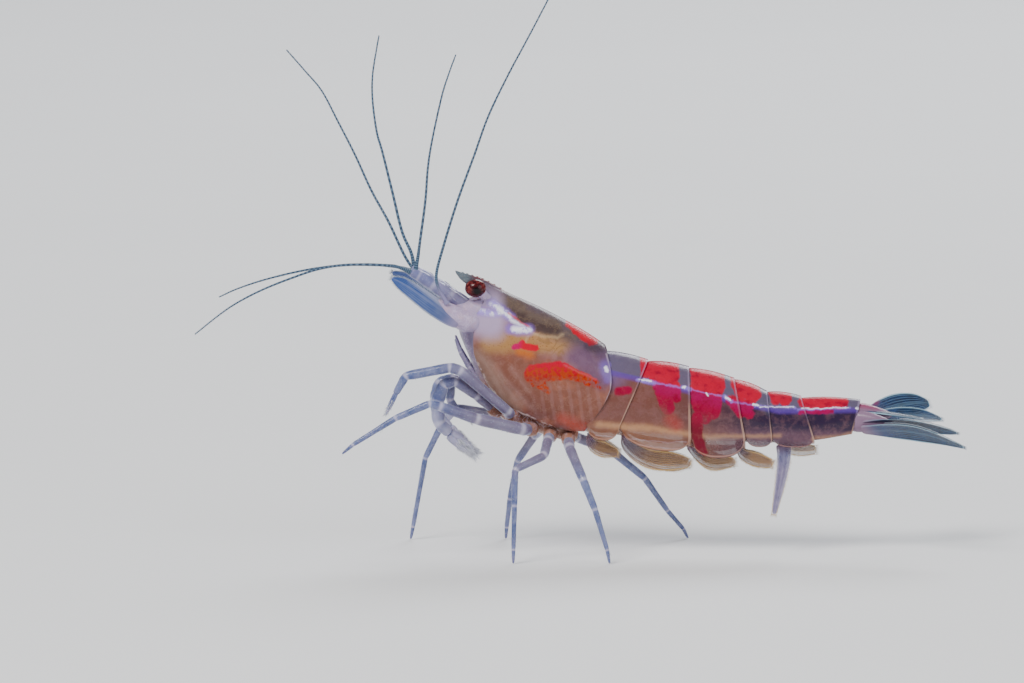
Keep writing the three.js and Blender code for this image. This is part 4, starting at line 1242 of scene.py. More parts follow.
class Finish(Tree):
    """A procedural material that reads its place on the animal in millimetres.

    Its colour is laid on in coats: each call of paint covers what is there by a share.
    """

    def __init__(self, name, ragged=0.0):
        self.material = bpy.data.materials.new(name)
        self.material.use_nodes = True
        tree = self.material.node_tree
        super().__init__(tree)
        self.colour = None
        tree.nodes.clear()
        self.shader = tree.nodes.new("ShaderNodeBsdfPrincipled")
        output = tree.nodes.new("ShaderNodeOutputMaterial")
        tree.links.new(self.shader.outputs[0], output.inputs[0])
        coordinates = tree.nodes.new("ShaderNodeTexCoord")
        to_millimetres = self.put("ShaderNodeVectorMath", {
            0: coordinates.outputs["Object"], 1: (1 / MM, 1 / MM, 1 / MM), 2: -SHIFT,
        }, operation="MULTIPLY_ADD")
        self.place = to_millimetres.outputs[0]
        self.wavy = self.place
        if ragged:
            for rate, share in RAGGED_WAVES:
                noise = self.noise(self.place, rate, 2.0, 0.5, output="Color")
                parts = self.put("ShaderNodeSeparateColor", {"Color": noise}).outputs
                noise = self.put("ShaderNodeCombineXYZ", dict(zip("XYZ", parts))).outputs[0]
                centred = self.vector("SUBTRACT", noise, (0.5, 0.5, 0.5))
                reach = ragged * share * 2
                moved = self.vector("MULTIPLY", centred, (reach, reach, reach))
                self.wavy = self.vector("ADD", self.wavy, moved)
        split = self.put("ShaderNodeSeparateXYZ", {"Vector": self.place})
        self.x, self.y, self.z = split.outputs

    def streak(self, start, end, half, end_half=None, *, softness, wavy=True):
        """A mark along a line seen from the side, between two places (x, z)."""
        node = self.put("ShaderNodeGroup", node_tree=STREAK)
        self.join(self.wavy if wavy else self.place, node.inputs["Place"])
        node.inputs["From"].default_value = (start[0], 0, start[1])
        node.inputs["To"].default_value = (end[0], 0, end[1])
        node.inputs["Half Width"].default_value = half
        node.inputs["End Half Width"].default_value = half if end_half is None else end_half
        node.inputs["Softness"].default_value = softness
        return node.outputs["Mask"]

    def marks(self, streaks, softness, wavy=True):
        """Several streaks as one mask. Each is the (x, z) of its ends, its half width, and its
        half width at the far end where that differs."""
        found = 0.0
        for streak in streaks:
            found = self.most(found, self.streak(*streak, softness=softness, wavy=wavy))
        return found

    def patches(self, rate, detail, low, high):
        """Soft irregular patches: how many to the millimetre, how finely broken up."""
        return self.ramp(self.noise(self.place, rate, detail), low, high)

    def veins(self, rate):
        """Fine branching lines."""
        field = self.noise(self.place, rate, 4.0, 0.65)
        crest = self.math("ABSOLUTE", self.math("SUBTRACT", field, 0.5))
        return self.ramp(crest, 0.022, 0.004)

    def grain(self, size):
        node = self.put("ShaderNodeGroup", node_tree=GRAIN)
        self.join(self.place, node.inputs["Place"])
        node.inputs["Size"].default_value = size
        return node.outputs

    def attribute(self, name):
        return self.put("ShaderNodeAttribute", attribute_name=name).outputs["Fac"]

    def paint(self, share, colour, strength=1.0):
        """Lay a colour over what is there already."""
        if strength != 1.0:
            share = self.times(share, strength)
        self.colour = self.mix(share, self.colour, colour)

    def set(self, **sockets):
        for name, value in sockets.items():
            self.join(value, self.shader.inputs[name.replace("_", " ")])

    def bump(self, height, strength, depth):
        node = self.put("ShaderNodeBump", {
            "Height": height, "Strength": strength, "Distance": depth * MM,
        })
        self.join(node.outputs[0], self.shader.inputs["Normal"])

    def gloss(self, coat):
        """A wet look: a thin clear coat over a duller skin."""
        self.shader.inputs["Coat Weight"].default_value = coat
        self.shader.inputs["Coat Roughness"].default_value = COAT_ROUGHNESS
        self.shader.inputs["Specular IOR Level"].default_value = SKIN_SHEEN

    def flesh(self, weight, depth=FLESH_DEPTH):
        self.shader.inputs["Subsurface Weight"].default_value = weight
        self.shader.inputs["Subsurface Radius"].default_value = FLESH_GLOW
        self.shader.inputs["Subsurface Scale"].default_value = depth * MM


PALE_FACE = tone(180, 160, 194)
GILL_TAN = tone(122, 70, 48)
GILL_DARK = tone(90, 50, 46)
STRAW = tone(172, 128, 78)
STOMACH = tone(70, 54, 54)
RED = tone(190, 0, 46)
ORANGE_RED = tone(160, 26, 0)
CRIMSON = tone(112, 0, 36)
MAGENTA = tone(158, 0, 78)
CHALK = tone(222, 216, 234)
BACK_GREY = tone(64, 62, 76)
WINE = tone(146, 0, 52)

# The ridge of the head shell and the shining line along the flanks, where a highlight is painted,
# seen
# from the side: slope towards the tail and height at x = 0. The shining line runs level once it is
# down to SHINE_LOW.
RIDGE = (-0.487, 11.23)
SHINE = (-0.235, 9.9)
SHINE_LOW = 7.6


def carapace_finish():
    f = Finish("head_shell_finish", ragged=0.13)
    grain = f.grain(0.5)
    # how far a place lies below the ridge
    below = f.math("SUBTRACT", f.math("MULTIPLY_ADD", f.x, *RIDGE), f.z)
    f.colour = f.mix(f.ramp(grain["Mottle"], 0.35, 0.65), tone(130, 90, 90), tone(154, 114, 118))
    # gill chamber, warm, and darker towards the belly
    gill = f.marks([((-4.9, 10.4), (-1.6, 8.3), 1.6), ((-1.6, 8.3), (0.2, 8.0), 1.5)], 0.8)
    f.paint(gill, GILL_TAN, 0.8)
    f.paint(f.ramp(below, 3.4, 5.6), GILL_DARK, 0.6)
    f.paint(f.patches(0.8, 3.0, 0.5, 0.7), tone(178, 106, 80), 0.35)
    pale = f.marks([((-5.9, 10.3), (-5.0, 8.9), 0.6), ((-5.0, 8.9), (-3.9, 7.8), 0.4)], 0.4)
    f.paint(pale, tone(152, 122, 108), 0.7)
    ribs = f.math("SINE", f.math("MULTIPLY_ADD", f.x, 13.0, f.times(f.z, 1.8)))
    ribs = f.times(f.ramp(ribs, -0.2, 1.0), f.streak((-1.9, 8.0), (0.0, 7.9), 1.1, softness=0.5))
    f.paint(ribs, tone(172, 134, 136), 0.14)
    veins = f.veins(1.3)
    f.paint(veins, tone(200, 160, 144), 0.1)
    folds = f.marks([((-5.6, 10.3), (-4.5, 8.5), 0.05), ((-5.25, 10.1), (-3.9, 8.2), 0.035),
                     ((-4.8, 9.7), (-3.1, 7.8), 0.04), ((-4.1, 9.9), (-3.2, 8.6), 0.03)], 0.26)
    f.paint(folds, tone(198, 164, 160), 0.22)
    blush = f.streak((-1.4, 7.2), (-0.3, 6.6), 0.3, softness=0.35)
    f.paint(blush, tone(196, 70, 52), 0.45)
    hem = f.marks([((-6.0, 10.4), (-5.35, 8.95), 0.04), ((-5.35, 8.95), (-4.35, 7.8), 0.04),
                   ((-4.35, 7.8), (-2.0, 6.8), 0.03)], 0.05)
    hem = f.times(hem, f.patches(3.0, 2.0, 0.4, 0.6))
    f.paint(hem, tone(232, 208, 206), 0.8)
    # yellow speckled liver, dark stomach, dull back
    liver = f.marks([((-5.2, 11.15), (-3.2, 11.25), 0.5), ((-3.2, 11.35), (-1.0, 11.45), 0.36),
                     ((-2.6, 11.0), (-0.8, 11.0), 0.34)], 0.3)
    f.paint(liver, STRAW, 0.85)
    f.paint(f.times(liver, grain["Specks"]), tone(120, 78, 40), 0.7)
    loop = f.marks([((-2.9, 11.6), (-1.2, 11.62), 0.06), ((-1.2, 11.6), (-0.75, 11.3), 0.05),
                    ((-3.2, 11.5), (-3.4, 11.2), 0.05)], 0.08)
    f.paint(loop, tone(206, 172, 130), 0.45)
    whorls = f.math("SINE", f.times(f.noise(f.place, 0.55, 1.0), 110.0))
    region = f.marks([((-2.6, 11.3), (-1.5, 10.95), 0.45)], 0.3)
    f.paint(f.times(f.ramp(whorls, 0.3, 0.9), region), tone(132, 98, 60), 0.5)
    back = f.ramp(below, 1.15, 0.3)
    f.paint(back, BACK_GREY, 0.8)
    f.paint(f.times(back, grain["Specks"]), tone(150, 116, 92), 0.4)
    gut = f.marks([((-4.5, 13.2), (-3.6, 12.85), 0.34), ((-3.9, 12.6), (-1.9, 11.95), 0.42)], 0.2)
    f.paint(gut, tone(102, 86, 72), 0.7)
    stomach = f.marks([((-4.5, 12.85), (-3.5, 12.45), 0.16), ((-3.7, 12.3), (-2.1, 11.75), 0.24),
                       ((-2.4, 11.85), (-1.75, 11.7), 0.2)], 0.16)
    f.paint(stomach, STOMACH, 0.85)
    f.paint(f.times(gut, veins), tone(150, 124, 96), 0.2)
    lining = f.marks([((-3.3, 11.72), (-2.5, 11.46), 0.04), ((-2.5, 11.46), (-1.7, 11.4), 0.05),
                      ((-1.7, 11.4), (-1.45, 11.55), 0.04)], 0.1)
    f.paint(lining, tone(214, 182, 138), 0.4)
    rear = f.marks([((-0.6, 10.5), (0.7, 9.4), 0.6), ((0.6, 10.4), (0.9, 9.4), 0.4)], 0.4)
    f.paint(rear, tone(102, 76, 106), 0.8)
    # pale face behind the eye, and glints painted on it as highlights: white patches with a violet
    # halo
    face = f.marks([((-6.4, 12.5), (-5.2, 12.2), 0.85), ((-6.2, 13.4), (-5.2, 13.2), 0.55)], 0.5)
    f.paint(face, PALE_FACE, 0.92)
    sparkle = f.patches(2.8, 3.0, 0.42, 0.55)
    highlight_halo = f.marks([((-5.8, 12.74), (-4.8, 12.7), 0.2), ((-5.1, 13.14), (-4.1, 12.4), 0.22),
                    ((-4.1, 11.86), (-3.2, 11.82), 0.26)], 0.18)
    f.paint(highlight_halo, tone(138, 108, 206), 0.75)
    # painted highlights, white where the sparkle patches fall
    painted_glint = f.marks([
        ((-5.1, 13.12), (-4.15, 12.42), 0.12), ((-5.7, 12.74), (-4.75, 12.62), 0.09),
        ((-4.05, 12.3), (-3.5, 12.02), 0.05), ((-3.95, 11.86), (-3.2, 11.8), 0.14),
    ], 0.13)
    f.paint(painted_glint, tone(186, 168, 244), 0.7)
    f.paint(f.times(painted_glint, sparkle), tone(250, 248, 255))
    rim = f.marks([((-4.25, 12.62), (-3.75, 12.32), 0.035), ((-3.7, 12.25), (-3.2, 11.98), 0.035)],
                  0.06)
    f.paint(rim, tone(206, 74, 82), 0.8)
    # red markings
    small = f.marks([((-4.0, 10.93), (-3.5, 11.05), 0.14), ((-3.48, 11.03), (-2.85, 10.88), 0.17),
                     ((-3.65, 11.1), (-3.5, 11.2), 0.12)], 0.05)
    f.paint(f.streak((-3.7, 10.7), (-3.1, 10.55), 0.2, softness=0.2), tone(206, 106, 22), 0.6)
    f.paint(small, f.mix(f.ramp(f.x, -3.4, -3.8), tone(198, 0, 40), tone(188, 0, 88)))
    large = f.marks([
        ((-2.95, 9.55), (-1.6, 9.72), 0.5), ((-1.4, 9.74), (0.35, 9.12), 0.44, 0.12),
        ((-2.75, 9.15), (-2.2, 8.66), 0.34, 0.14), ((-0.2, 9.1), (0.5, 8.85), 0.14, 0.08),
    ], 0.06)
    pores = f.patches(5.5, 2.0, 0.56, 0.46)
    speckled = f.times(f.ramp(f.z, 9.7, 9.0), pores)
    dots = f.put("ShaderNodeTexVoronoi", {"Vector": f.place, "Scale": 5.0}).outputs["Distance"]
    dots = f.ramp(dots, 0.38, 0.56)
    red = f.mix(f.ramp(f.z, 10.0, 9.2), RED, ORANGE_RED)
    dots = f.times(dots, f.ramp(f.z, 10.15, 9.7))
    red = f.mix(f.times(dots, 0.8), red, tone(170, 62, 20))
    large = f.times(large, f.rest(f.times(speckled, 0.7)))
    f.paint(large, red)
    edge = f.marks([((-1.3, 10.02), (0.3, 9.24), 0.04)], 0.07)
    f.paint(edge, tone(206, 80, 96), 0.6)
    saddle = f.marks([((-1.05, 12.1), (0.15, 11.35), 0.24, 0.4),
                      ((-0.8, 11.75), (-0.05, 11.25), 0.2)], 0.05)
    f.paint(saddle, tone(194, 0, 36))
    dark = f.streak((-0.15, 10.95), (0.55, 10.75), 0.2, softness=0.2)
    f.paint(dark, tone(58, 44, 56), 0.6)
    hem = f.marks([((0.84, 10.5), (1.1, 9.6), 0.025), ((1.1, 9.6), (1.06, 8.7), 0.025),
                   ((1.06, 8.7), (0.62, 7.6), 0.025), ((0.62, 7.6), (-0.2, 6.6), 0.025)], 0.05,
                   wavy=False)
    f.paint(hem, tone(214, 196, 220), 0.6)
    # a white highlight painted at the front end of the shining line, with a violet halo round it
    spot = f.streak((0.84, 9.86), (0.88, 9.76), 0.1, softness=0.06)
    spot_highlight_halo = f.streak((0.8, 9.9), (0.95, 9.4), 0.3, softness=0.2)
    f.paint(spot_highlight_halo, tone(120, 96, 186), 0.6)
    f.paint(spot, tone(240, 236, 255))
    ridge_line = f.ramp(f.math("ABSOLUTE", f.y), 0.16, 0.04)
    brow = f.times(ridge_line, f.ramp(f.x, -6.5, -5.8))
    brow = f.times(brow, f.ramp(f.x, -3.4, -4.6))
    f.paint(brow, tone(132, 48, 44), 0.6)
    beak = f.times(f.ramp(f.x, -5.9, -6.5), f.ramp(f.z, 14.0, 14.2))
    f.paint(beak, tone(88, 112, 126), 0.8)
    low_flecks = f.times(f.streak((-1.2, 6.9), (0.0, 6.7), 0.35, softness=0.2), grain["Specks"])
    f.paint(low_flecks, tone(190, 60, 30), 0.6)
    f.set(Base_Color=f.colour, Roughness=f.ramp(grain["Mottle"], 0.3, 0.7, 0.2, 0.36),
          Alpha=f.rest(f.times(beak, 0.25)))
    f.gloss(0.2)
    f.set(Coat_Weight=f.math("MULTIPLY_ADD", f.most(large, saddle), -0.16, 0.2))
    f.flesh(0.12)
    relief = f.math("MULTIPLY_ADD", ribs, 0.2, f.times(grain["Height"], 0.6))
    f.bump(relief, 0.35, 0.06)
    return f.material


def abdomen_finish():
    f = Finish("tail_shell_finish", ragged=0.14)
    grain = f.grain(0.45)
    # how far a place lies above the shining line
    line = f.most(f.math("MULTIPLY_ADD", f.x, *SHINE), SHINE_LOW)
    height = f.math("SUBTRACT", f.z, line)
    f.colour = f.mix(f.ramp(f.x, 3.0, 9.5), tone(112, 70, 62), tone(46, 32, 58))
    f.paint(f.ramp(grain["Mottle"], 0.42, 0.72), tone(138, 96, 98), 0.28)
    belly = f.ramp(f.z, f.math("MULTIPLY_ADD", f.x, -0.07, 7.5), 6.3)
    f.paint(belly, f.mix(f.ramp(f.x, 3.0, 9.0), tone(158, 104, 72), tone(112, 80, 94)), 0.55)
    first = f.ramp(f.x, 2.4, 0.9)
    f.paint(f.times(first, f.ramp(height, -1.3, -0.2)), tone(110, 92, 146), 0.7)
    f.paint(f.ramp(height, -0.2, 0.1), tone(96, 88, 112), 0.9)
    muscle = f.marks([((0.4, 6.9), (3.1, 6.7), 0.16), ((3.1, 6.7), (5.3, 6.35), 0.12),
                      ((5.3, 6.3), (9.8, 6.25), 0.07), ((11.6, 6.05), (13.5, 6.28), 0.05)], 0.16)
    f.paint(muscle, tone(208, 158, 112), 0.5)
    threads = f.marks([((0.3, 6.3), (1.4, 6.2), 0.015), ((1.9, 6.15), (5.0, 5.95), 0.015),
                       ((2.2, 5.85), (4.8, 5.6), 0.012)], 0.04)
    f.paint(threads, tone(214, 190, 206), 0.45)
    blush = f.streak((4.15, 7.15), (4.45, 6.85), 0.3, softness=0.3)
    f.paint(blush, tone(176, 40, 40), 0.45)
    violet = f.times(f.ramp(height, -0.3, -0.1), f.ramp(height, 0.12, 0.0))
    f.paint(violet, tone(92, 56, 164), 0.6)
    # bands of red, the same on both flanks and across the back
    red = f.marks([
        ((1.46, 8.62), (1.98, 8.67), 0.2), ((2.85, 10.2), (2.9, 9.5), 0.26),
        ((3.3, 10.3), (3.4, 9.45), 0.42), ((4.1, 10.2), (4.13, 9.45), 0.52),
        ((3.6, 8.95), (4.4, 8.9), 0.3), ((3.85, 8.6), (4.02, 7.75), 0.44, 0.38),
        ((4.4, 8.7), (4.5, 8.2), 0.28, 0.2), ((5.62, 10.0), (5.66, 8.9), 0.47),
        ((6.3, 9.9), (6.4, 8.8), 0.56), ((6.74, 9.6), (6.74, 8.9), 0.3),
        ((5.6, 8.5), (6.4, 8.3), 0.4), ((5.75, 8.1), (5.95, 7.3), 0.52, 0.42),
        ((6.4, 8.1), (6.4, 7.45), 0.4, 0.3), ((7.75, 9.3), (7.92, 8.6), 0.44),
        ((8.38, 9.0), (8.45, 8.4), 0.44), ((7.25, 8.15), (8.3, 7.85), 0.26),
        ((7.5, 7.9), (7.8, 7.5), 0.26), ((8.0, 7.7), (8.3, 7.42), 0.3, 0.26),
        ((9.58, 8.6), (9.65, 8.15), 0.32), ((10.12, 8.5), (10.15, 8.1), 0.35),
        ((11.2, 7.99), (13.05, 7.94), 0.36), ((10.95, 7.46), (12.6, 7.48), 0.1),
    ], 0.06)
    near_line = f.times(f.ramp(height, 0.12, -0.12), f.ramp(height, -1.2, -0.4))
    hue = f.mix(near_line, RED, MAGENTA)
    hue = f.mix(f.ramp(height, -0.2, -1.0), hue, WINE)
    hue = f.mix(f.patches(3.0, 3.0, 0.45, 0.85), hue, tone(134, 0, 40))
    thin = f.times(f.ramp(height, -0.8, -1.5), f.ramp(grain["Mottle"], 0.6, 0.46))
    red = f.times(red, f.rest(f.times(thin, 0.5)))
    f.paint(red, hue, 0.96)
    streak = f.marks([
        ((5.52, 7.2), (5.56, 6.3), 0.33, 0.3), ((5.56, 6.3), (5.8, 5.45), 0.3, 0.3),
    ], 0.06)
    f.paint(streak, f.mix(f.ramp(f.z, 7.4, 6.5), WINE, CRIMSON), 0.95)
    veins = f.times(f.veins(1.1), f.ramp(height, -0.5, -0.9))
    f.paint(veins, tone(176, 136, 124), 0.07)
    # the shining line along each flank, painted as a white highlight with a violet halo, brightest
    # where the rings meet
    highlight_halo = f.marks([((0.85, 9.9), (0.85, 9.3), 0.24), ((2.5, 9.2), (3.4, 9.05), 0.08),
                    ((3.4, 9.05), (4.84, 8.82), 0.03), ((4.8, 8.85), (5.2, 8.66), 0.1),
                    ((5.2, 8.66), (6.97, 8.34), 0.02), ((6.95, 8.33), (7.3, 8.1), 0.09),
                    ((7.3, 8.1), (8.55, 7.88), 0.02), ((8.6, 7.79), (10.71, 7.68), 0.04),
                    ((10.8, 7.6), (13.5, 7.64), 0.04)], 0.06)
    f.paint(highlight_halo, tone(152, 122, 226), 0.7)
    # the white highlight painted along the line and at the ring joints
    painted_shine = f.marks([
        ((2.58, 9.24), (3.2, 9.12), 0.03), ((4.84, 8.84), (4.92, 8.8), 0.07),
        ((6.06, 8.5), (6.1, 8.42), 0.045), ((7.0, 8.3), (7.2, 8.2), 0.055),
        ((8.52, 7.92), (8.7, 7.84), 0.055), ((8.8, 7.76), (10.6, 7.7), 0.015),
        ((11.0, 7.64), (13.4, 7.66), 0.02), ((13.8, 7.6), (13.95, 7.52), 0.045),
    ], 0.035)
    f.paint(painted_shine, tone(250, 247, 255), 0.95)
    rim = f.attribute("rim")
    pale_rim = f.times(f.ramp(rim, 0.78, 1.0), f.ramp(height, -0.3, -1.2))
    f.paint(pale_rim, tone(206, 164, 142), 0.45)
    back_rim = f.times(f.ramp(rim, 0.72, 1.0), f.ramp(height, -0.9, 0.3))
    f.paint(back_rim, tone(170, 148, 184), 0.35)
    plate = f.ramp(f.math("MULTIPLY_ADD", f.x, 0.08, f.z), 6.95, 6.5)
    clear = f.times(plate, f.rest(f.most(pale_rim, streak)))
    f.set(Base_Color=f.colour, Roughness=f.ramp(grain["Mottle"], 0.3, 0.7, 0.18, 0.34),
          Alpha=f.rest(f.times(clear, 0.3)))
    f.gloss(0.22)
    f.set(Coat_Weight=f.math("MULTIPLY_ADD", f.most(red, streak), -0.17, 0.22))
    f.flesh(0.12)
    f.bump(grain["Height"], 0.3, 0.05)
    return f.material


def flesh_finish():
    f = Finish("soft_body_finish", ragged=0.1)
    grain = f.grain(0.4)
    f.colour = f.mix(f.ramp(f.z, 8.4, 11.2), tone(126, 80, 62), PALE_FACE)
    f.paint(f.ramp(grain["Mottle"], 0.45, 0.7), tone(200, 166, 176), 0.35)
    f.paint(f.streak((-6.1, 9.6), (-6.5, 11.2), 0.5, softness=0.5), tone(120, 116, 150), 0.6)
    veins = f.veins(1.0)
    f.paint(veins, tone(222, 206, 230), 0.35)
    f.paint(f.ramp(f.z, 7.2, 6.2), tone(160, 116, 98), 0.6)
    f.paint(grain["Specks"], tone(226, 206, 216), 0.25)
    f.set(Base_Color=f.colour, Roughness=0.3)
    f.gloss(0.35)
    f.flesh(0.25)
    f.bump(grain["Height"], 0.35, 0.05)
    return f.material


def limb_finish(name, base, light, joint_share, clear):
    """Clear limb skin, milky where the segments meet, with a pale highlight painted along its
    outline.
    """
    f = Finish(name)
    grain = f.grain(0.6)
    joint = f.attribute("joint")
    f.colour = f.mix(f.ramp(grain["Mottle"], 0.3, 0.7), base, light)
    painted_rim_light = f.put("ShaderNodeLayerWeight", {"Blend": 0.4}).outputs["Facing"]
    warm = f.times(f.ramp(f.z, 3.9, 5.6), f.ramp(f.x, -8.6, -5.6))
    f.paint(warm, tone(132, 114, 134), 0.65)
    milky = f.marks([((-7.3, 6.6), (-6.5, 5.8), 0.4), ((-8.1, 7.6), (-7.9, 6.9), 0.22)], 0.4)
    f.paint(milky, tone(204, 200, 228), 0.6)
    # pale highlight painted where the skin turns away from view
    f.paint(f.ramp(painted_rim_light, 0.4, 0.8), tone(184, 194, 230), 0.7)
    f.paint(f.ramp(joint, 0.45, 1.0), CHALK, joint_share)
    f.paint(grain["Specks"], tone(190, 186, 216), 0.25)
    f.set(Base_Color=f.colour, Roughness=0.24, Alpha=f.ramp(joint, 0.0, 0.8, clear, 1.0))
    f.gloss(0.4)
    f.flesh(0.2, 0.4)
    f.bump(grain["Height"], 0.25, 0.03)
    return f.material


def feeler_finish():
    f = Finish("feeler_finish")
    f.colour = f.mix(f.ramp(f.attribute("band"), 0.3, 0.8), tone(44, 66, 92), tone(96, 122, 146))
    f.paint(f.noise(f.place, 1.4, 2.0), tone(70, 84, 102), 0.4)
    base = f.times(f.ramp(f.z, 14.5, 13.6), f.ramp(f.x, -9.0, -8.6))
    f.paint(base, tone(146, 136, 178), 0.85)
    f.set(Base_Color=f.colour, Roughness=0.3)
    f.gloss(0.3)
    return f.material


def blade_finish(name, body, rim, deep, clear, rays, spine, near_root=tone(158, 122, 146), end=None,
                 spot=None, spot_colour=MAGENTA):
    """A clear blade with a pale rim, a faint midrib and fine rays that run out to its edge."""
    f = Finish(name)
    grain = f.grain(0.35)
    across, along = f.attribute("edge"), f.attribute("along")
    edge = f.math("ABSOLUTE", across)
    f.colour = f.mix(f.ramp(grain["Mottle"], 0.35, 0.65), body, deep)
    fan = f.math("SINE", f.times(across, 30.0))
    fan = f.times(f.ramp(fan, 0.3, 0.95), f.ramp(along, 0.15, 0.5))
    middle = f.times(f.ramp(edge, 0.22, 0.06), spine)
    margin = f.most(f.ramp(edge, 0.84, 0.96), f.ramp(along, 0.94, 0.99))
    lines = f.most(margin, f.most(middle, f.times(fan, rays)))
    if end:
        f.paint(f.ramp(along, 0.45, 0.95), end, 0.8)
    f.paint(lines, rim, 0.85)
    f.paint(f.ramp(along, 0.55, 0.15), tone(84, 94, 136), 0.6)
    root = f.ramp(along, 0.28, 0.0)
    f.paint(root, near_root, 0.75)
    # the spot is a coloured mark on the tail fan, and a painted highlight streak on the scale
    if spot:
        f.paint(f.streak(*spot, softness=0.15), spot_colour, 0.6)
    alpha = f.math("MULTIPLY_ADD", lines, 0.95 - clear, clear, clamp=True)
    alpha = f.most(alpha, f.times(root, min(0.92, clear + 0.3)))
    f.set(Base_Color=f.colour, Roughness=0.22, Alpha=alpha)
    f.gloss(0.12)
    f.bump(f.math("MULTIPLY_ADD", lines, 0.6, f.times(grain["Height"], 0.3)), 0.4, 0.04)
    return f.material


def eye_finish():
    f = Finish("eye_finish", ragged=0.05)
    facets = f.put("ShaderNodeTexVoronoi", {"Vector": f.place, "Scale": 14.0})
    f.colour = f.mix(f.patches(4.0, 3.0, 0.4, 0.62), tone(104, 26, 28), tone(54, 8, 18))
    f.paint(f.patches(7.0, 1.0, 0.52, 0.68), tone(160, 84, 78), 0.4)
    f.paint(f.streak((-5.86, 13.86), (-5.9, 13.9), 0.3, softness=0.12), tone(36, 5, 14), 0.8)
    f.paint(f.streak((-5.86, 13.86), (-5.9, 13.9), 0.16, softness=0.07), tone(6, 0, 5))
    f.set(Base_Color=f.colour, Roughness=0.16)
    f.gloss(0.25)
    f.bump(facets.outputs["Distance"], 0.25, 0.02)
    return f.material


def bristle_finish(name, base, tip):
    f = Finish(name)
    f.set(Base_Color=f.mix(f.noise(f.place, 1.6, 2.0), base, tip), Roughness=0.4, Coat_Weight=0.2)
    return f.material


def floor_finish():
    f = Finish("floor_finish")
    f.colour = f.mix(f.noise(f.place, 0.03, 3.0), tone(242, 243, 245), tone(247, 248, 249))
    f.set(Base_Color=f.colour, Roughness=0.8)
    return f.material


# ---------------------------------------------------------------- the whole animal

SHELL = carapace_finish()
TAIL_SHELL = abdomen_finish()
FLESH = flesh_finish()
LIMB = limb_finish("limb_finish", tone(76, 92, 144), tone(124, 132, 176), 0.5, 0.84)
STALK_SKIN = limb_finish("feeler_stalk_finish", tone(110, 116, 164), tone(142, 140, 184), 0.3, 0.94)
FEELER = feeler_finish()
SWIMMERET = blade_finish("swimmeret_finish", tone(146, 110, 94), tone(230, 188, 116),
                         tone(116, 86, 84), 0.3, rays=0.5, spine=0.15)
HANGING = blade_finish("hanging_swimmeret_finish", tone(142, 130, 166), tone(214, 206, 224),
                       tone(116, 108, 150), 0.62, rays=0.3, spine=0.2)
FAN = blade_finish("fan_finish", tone(0, 46, 90), tone(164, 204, 222), tone(0, 24, 60), 0.88,
                   rays=0.22, spine=0.14, spot=((13.9, 7.85), (14.9, 7.72), 0.2))
# the scale's pale streak, passed as its spot, is a highlight painted along the blade
SCALE_FINISH = blade_finish("scale_finish", tone(76, 98, 154), tone(190, 196, 228),
                            tone(52, 80, 144), 0.85, rays=0.22, spine=0.25,
                            near_root=tone(166, 150, 186), end=tone(24, 70, 144),
                            spot=((-9.3, 14.5), (-6.7, 12.45), 0.14),
                            spot_colour=tone(206, 210, 236))
EYE = eye_finish()
WHITE_BRISTLE = bristle_finish("white_bristle_finish", tone(214, 218, 232), tone(240, 240, 246))
GREY_BRISTLE = bristle_finish("grey_bristle_finish", tone(140, 152, 168), tone(190, 200, 212))
GOLD_BRISTLE = bristle_finish("gold_bristle_finish", tone(186, 150, 112), tone(220, 196, 160))

head_shell = make_carapace()
join_shell(head_shell, make_rostrum())
hand_over(head_shell, SHELL, "shell", "carapace")

for number, piece in enumerate(make_abdomen(), start=1):
    hand_over(piece, TAIL_SHELL, "shell", f"abdomen_{number}")

hand_over(make_flesh(), FLESH, "skin", "sternum", "mouthparts", "antenna_base_left",
          "antenna_base_right", "eyestalk_left", "eyestalk_right")

for side_name, eye in make_eyes().items():
    hand_over(eye, EYE, "eye", f"eye_{side_name}")
for side_name, stalk in make_antennules().items():
    hand_over(stalk, STALK_SKIN, "skin", f"antennule_{side_name}")
for side_name, limb in make_maxillipeds().items():
    hand_over(limb, STALK_SKIN, "limb", f"maxilliped_{side_name}")
for (number, side_name), leg in make_legs().items():
    hand_over(leg, LIMB, "limb", f"leg_{number}_{side_name}")
for (kind, side_name), feeler in make_feelers().items():
    hand_over(feeler, FEELER, "feeler", f"{kind}_{side_name}")

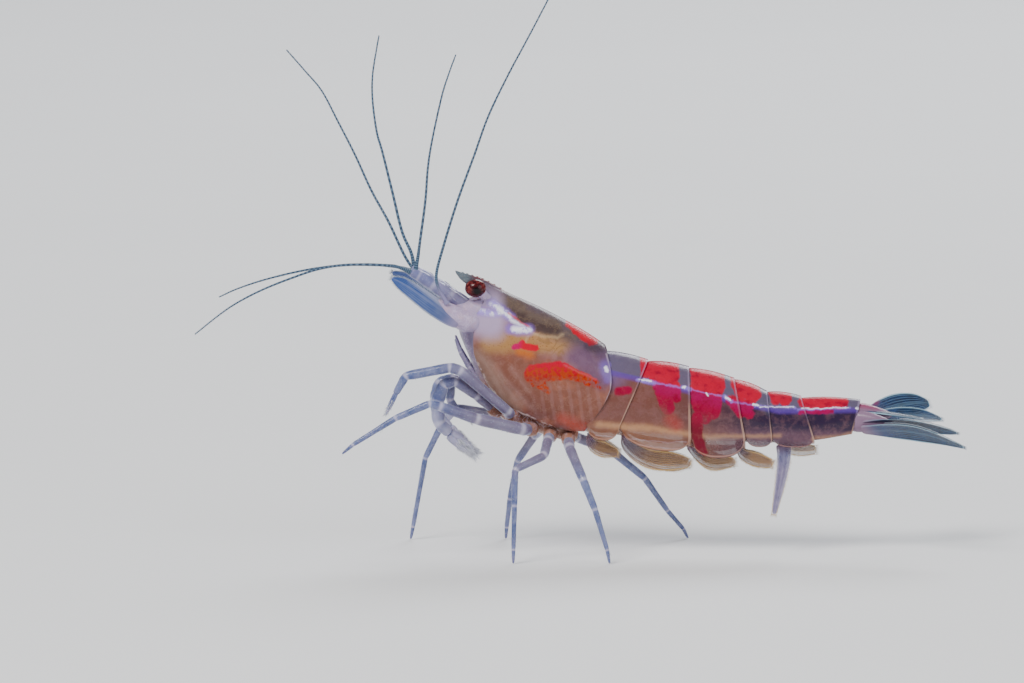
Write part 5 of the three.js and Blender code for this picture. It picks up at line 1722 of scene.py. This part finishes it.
scale_hairs, fan_hairs, swimmeret_hairs = [], [], []
for side_name, side in SIDES.items():
    right = side_name == "right"
    scale, frames = make_blade(f"scale_of_second_feeler_{side_name}", SCALE, side, SCALE_ACROSS,
                               **SCALE_FORM)
    hand_over(scale, SCALE_FINISH, "limb", f"antenna_scale_{side_name}")
    low = 0.5 * right
    scale_hairs += fringe(frames, 0.07, 0.3, (low, low + 0.5))
    for number, (kind, blades) in enumerate(TAIL_FAN.items()):
        stops, across, cup = blades[side_name]
        blade, frames = make_blade(f"tail_blade_{kind}_{side_name}", stops, side, across, cup=cup,
                                   stalk=UROPOD_STALK if kind == "uropod_outer" else None,
                                   **UROPOD_FORM)
        hand_over(blade, FAN, "fan", f"{kind}_{side_name}")
        low = 0.2 * number + 0.4 * right
        fan_hairs += fringe(frames, 0.06, 0.35, (low, low + 0.2))
    for number, stops in enumerate(SWIMMERETS[side_name], start=1):
        hanging = number == 5 and side_name == "left"
        inner = [(x * 0.96 + stops[0][0] * 0.04, y - 0.2, z + 0.12, wide * 0.62)
                 for x, y, z, wide in stops]
        blade, frames = make_blade(f"swimming_leg_{number}_{side_name}", stops, side,
                                   HANGING_ACROSS if hanging else SWIMMERET_ACROSS, inner=inner,
                                   **SWIMMERET_FORM)
        hand_over(blade, HANGING if hanging else SWIMMERET, "swimmeret",
                  f"swimmeret_{number}_{side_name}")
        low = 0.1 * (number - 1) + 0.5 * right
        swimmeret_hairs += fringe(frames, 0.07, 0.3, (low, low + 0.1))
telson, frames = make_blade("tail_spike", TELSON, 1, TELSON_ACROSS, stalk=TELSON_ROOT,
                            **TELSON_FORM)
hand_over(telson, FAN, "fan", "telson")
fan_hairs += fringe(frames, 0.1, 0.6, (0.8, 1.0))

hand_over(make_bristles("tail_fan_fringe", fan_hairs), GREY_BRISTLE, "fan")
hand_over(make_bristles("swimming_leg_fringe", swimmeret_hairs), GOLD_BRISTLE, "swimmeret")
hand_over(make_bristles("feeler_scale_fringe", scale_hairs), GREY_BRISTLE, "limb")
hand_over(make_bristles("claw_brushes", claw_hairs()), WHITE_BRISTLE, "limb")
hand_over(make_bristles("leg_bristles", leg_hairs()), GREY_BRISTLE, "limb")

bpy.ops.object.select_all(action="DESELECT")
bpy.ops.mesh.primitive_plane_add(size=FLOOR_SIZE, location=(0, 0, 0))
floor = bpy.context.object
floor.name = "floor"
floor.data.materials.append(floor_finish())

world = bpy.data.worlds.new("studio")
bpy.context.scene.world = world
world.use_nodes = True
sky = world.node_tree.nodes["Background"].inputs
sky["Color"].default_value = tone(226, 228, 232)
sky["Strength"].default_value = STUDIO_LIGHT
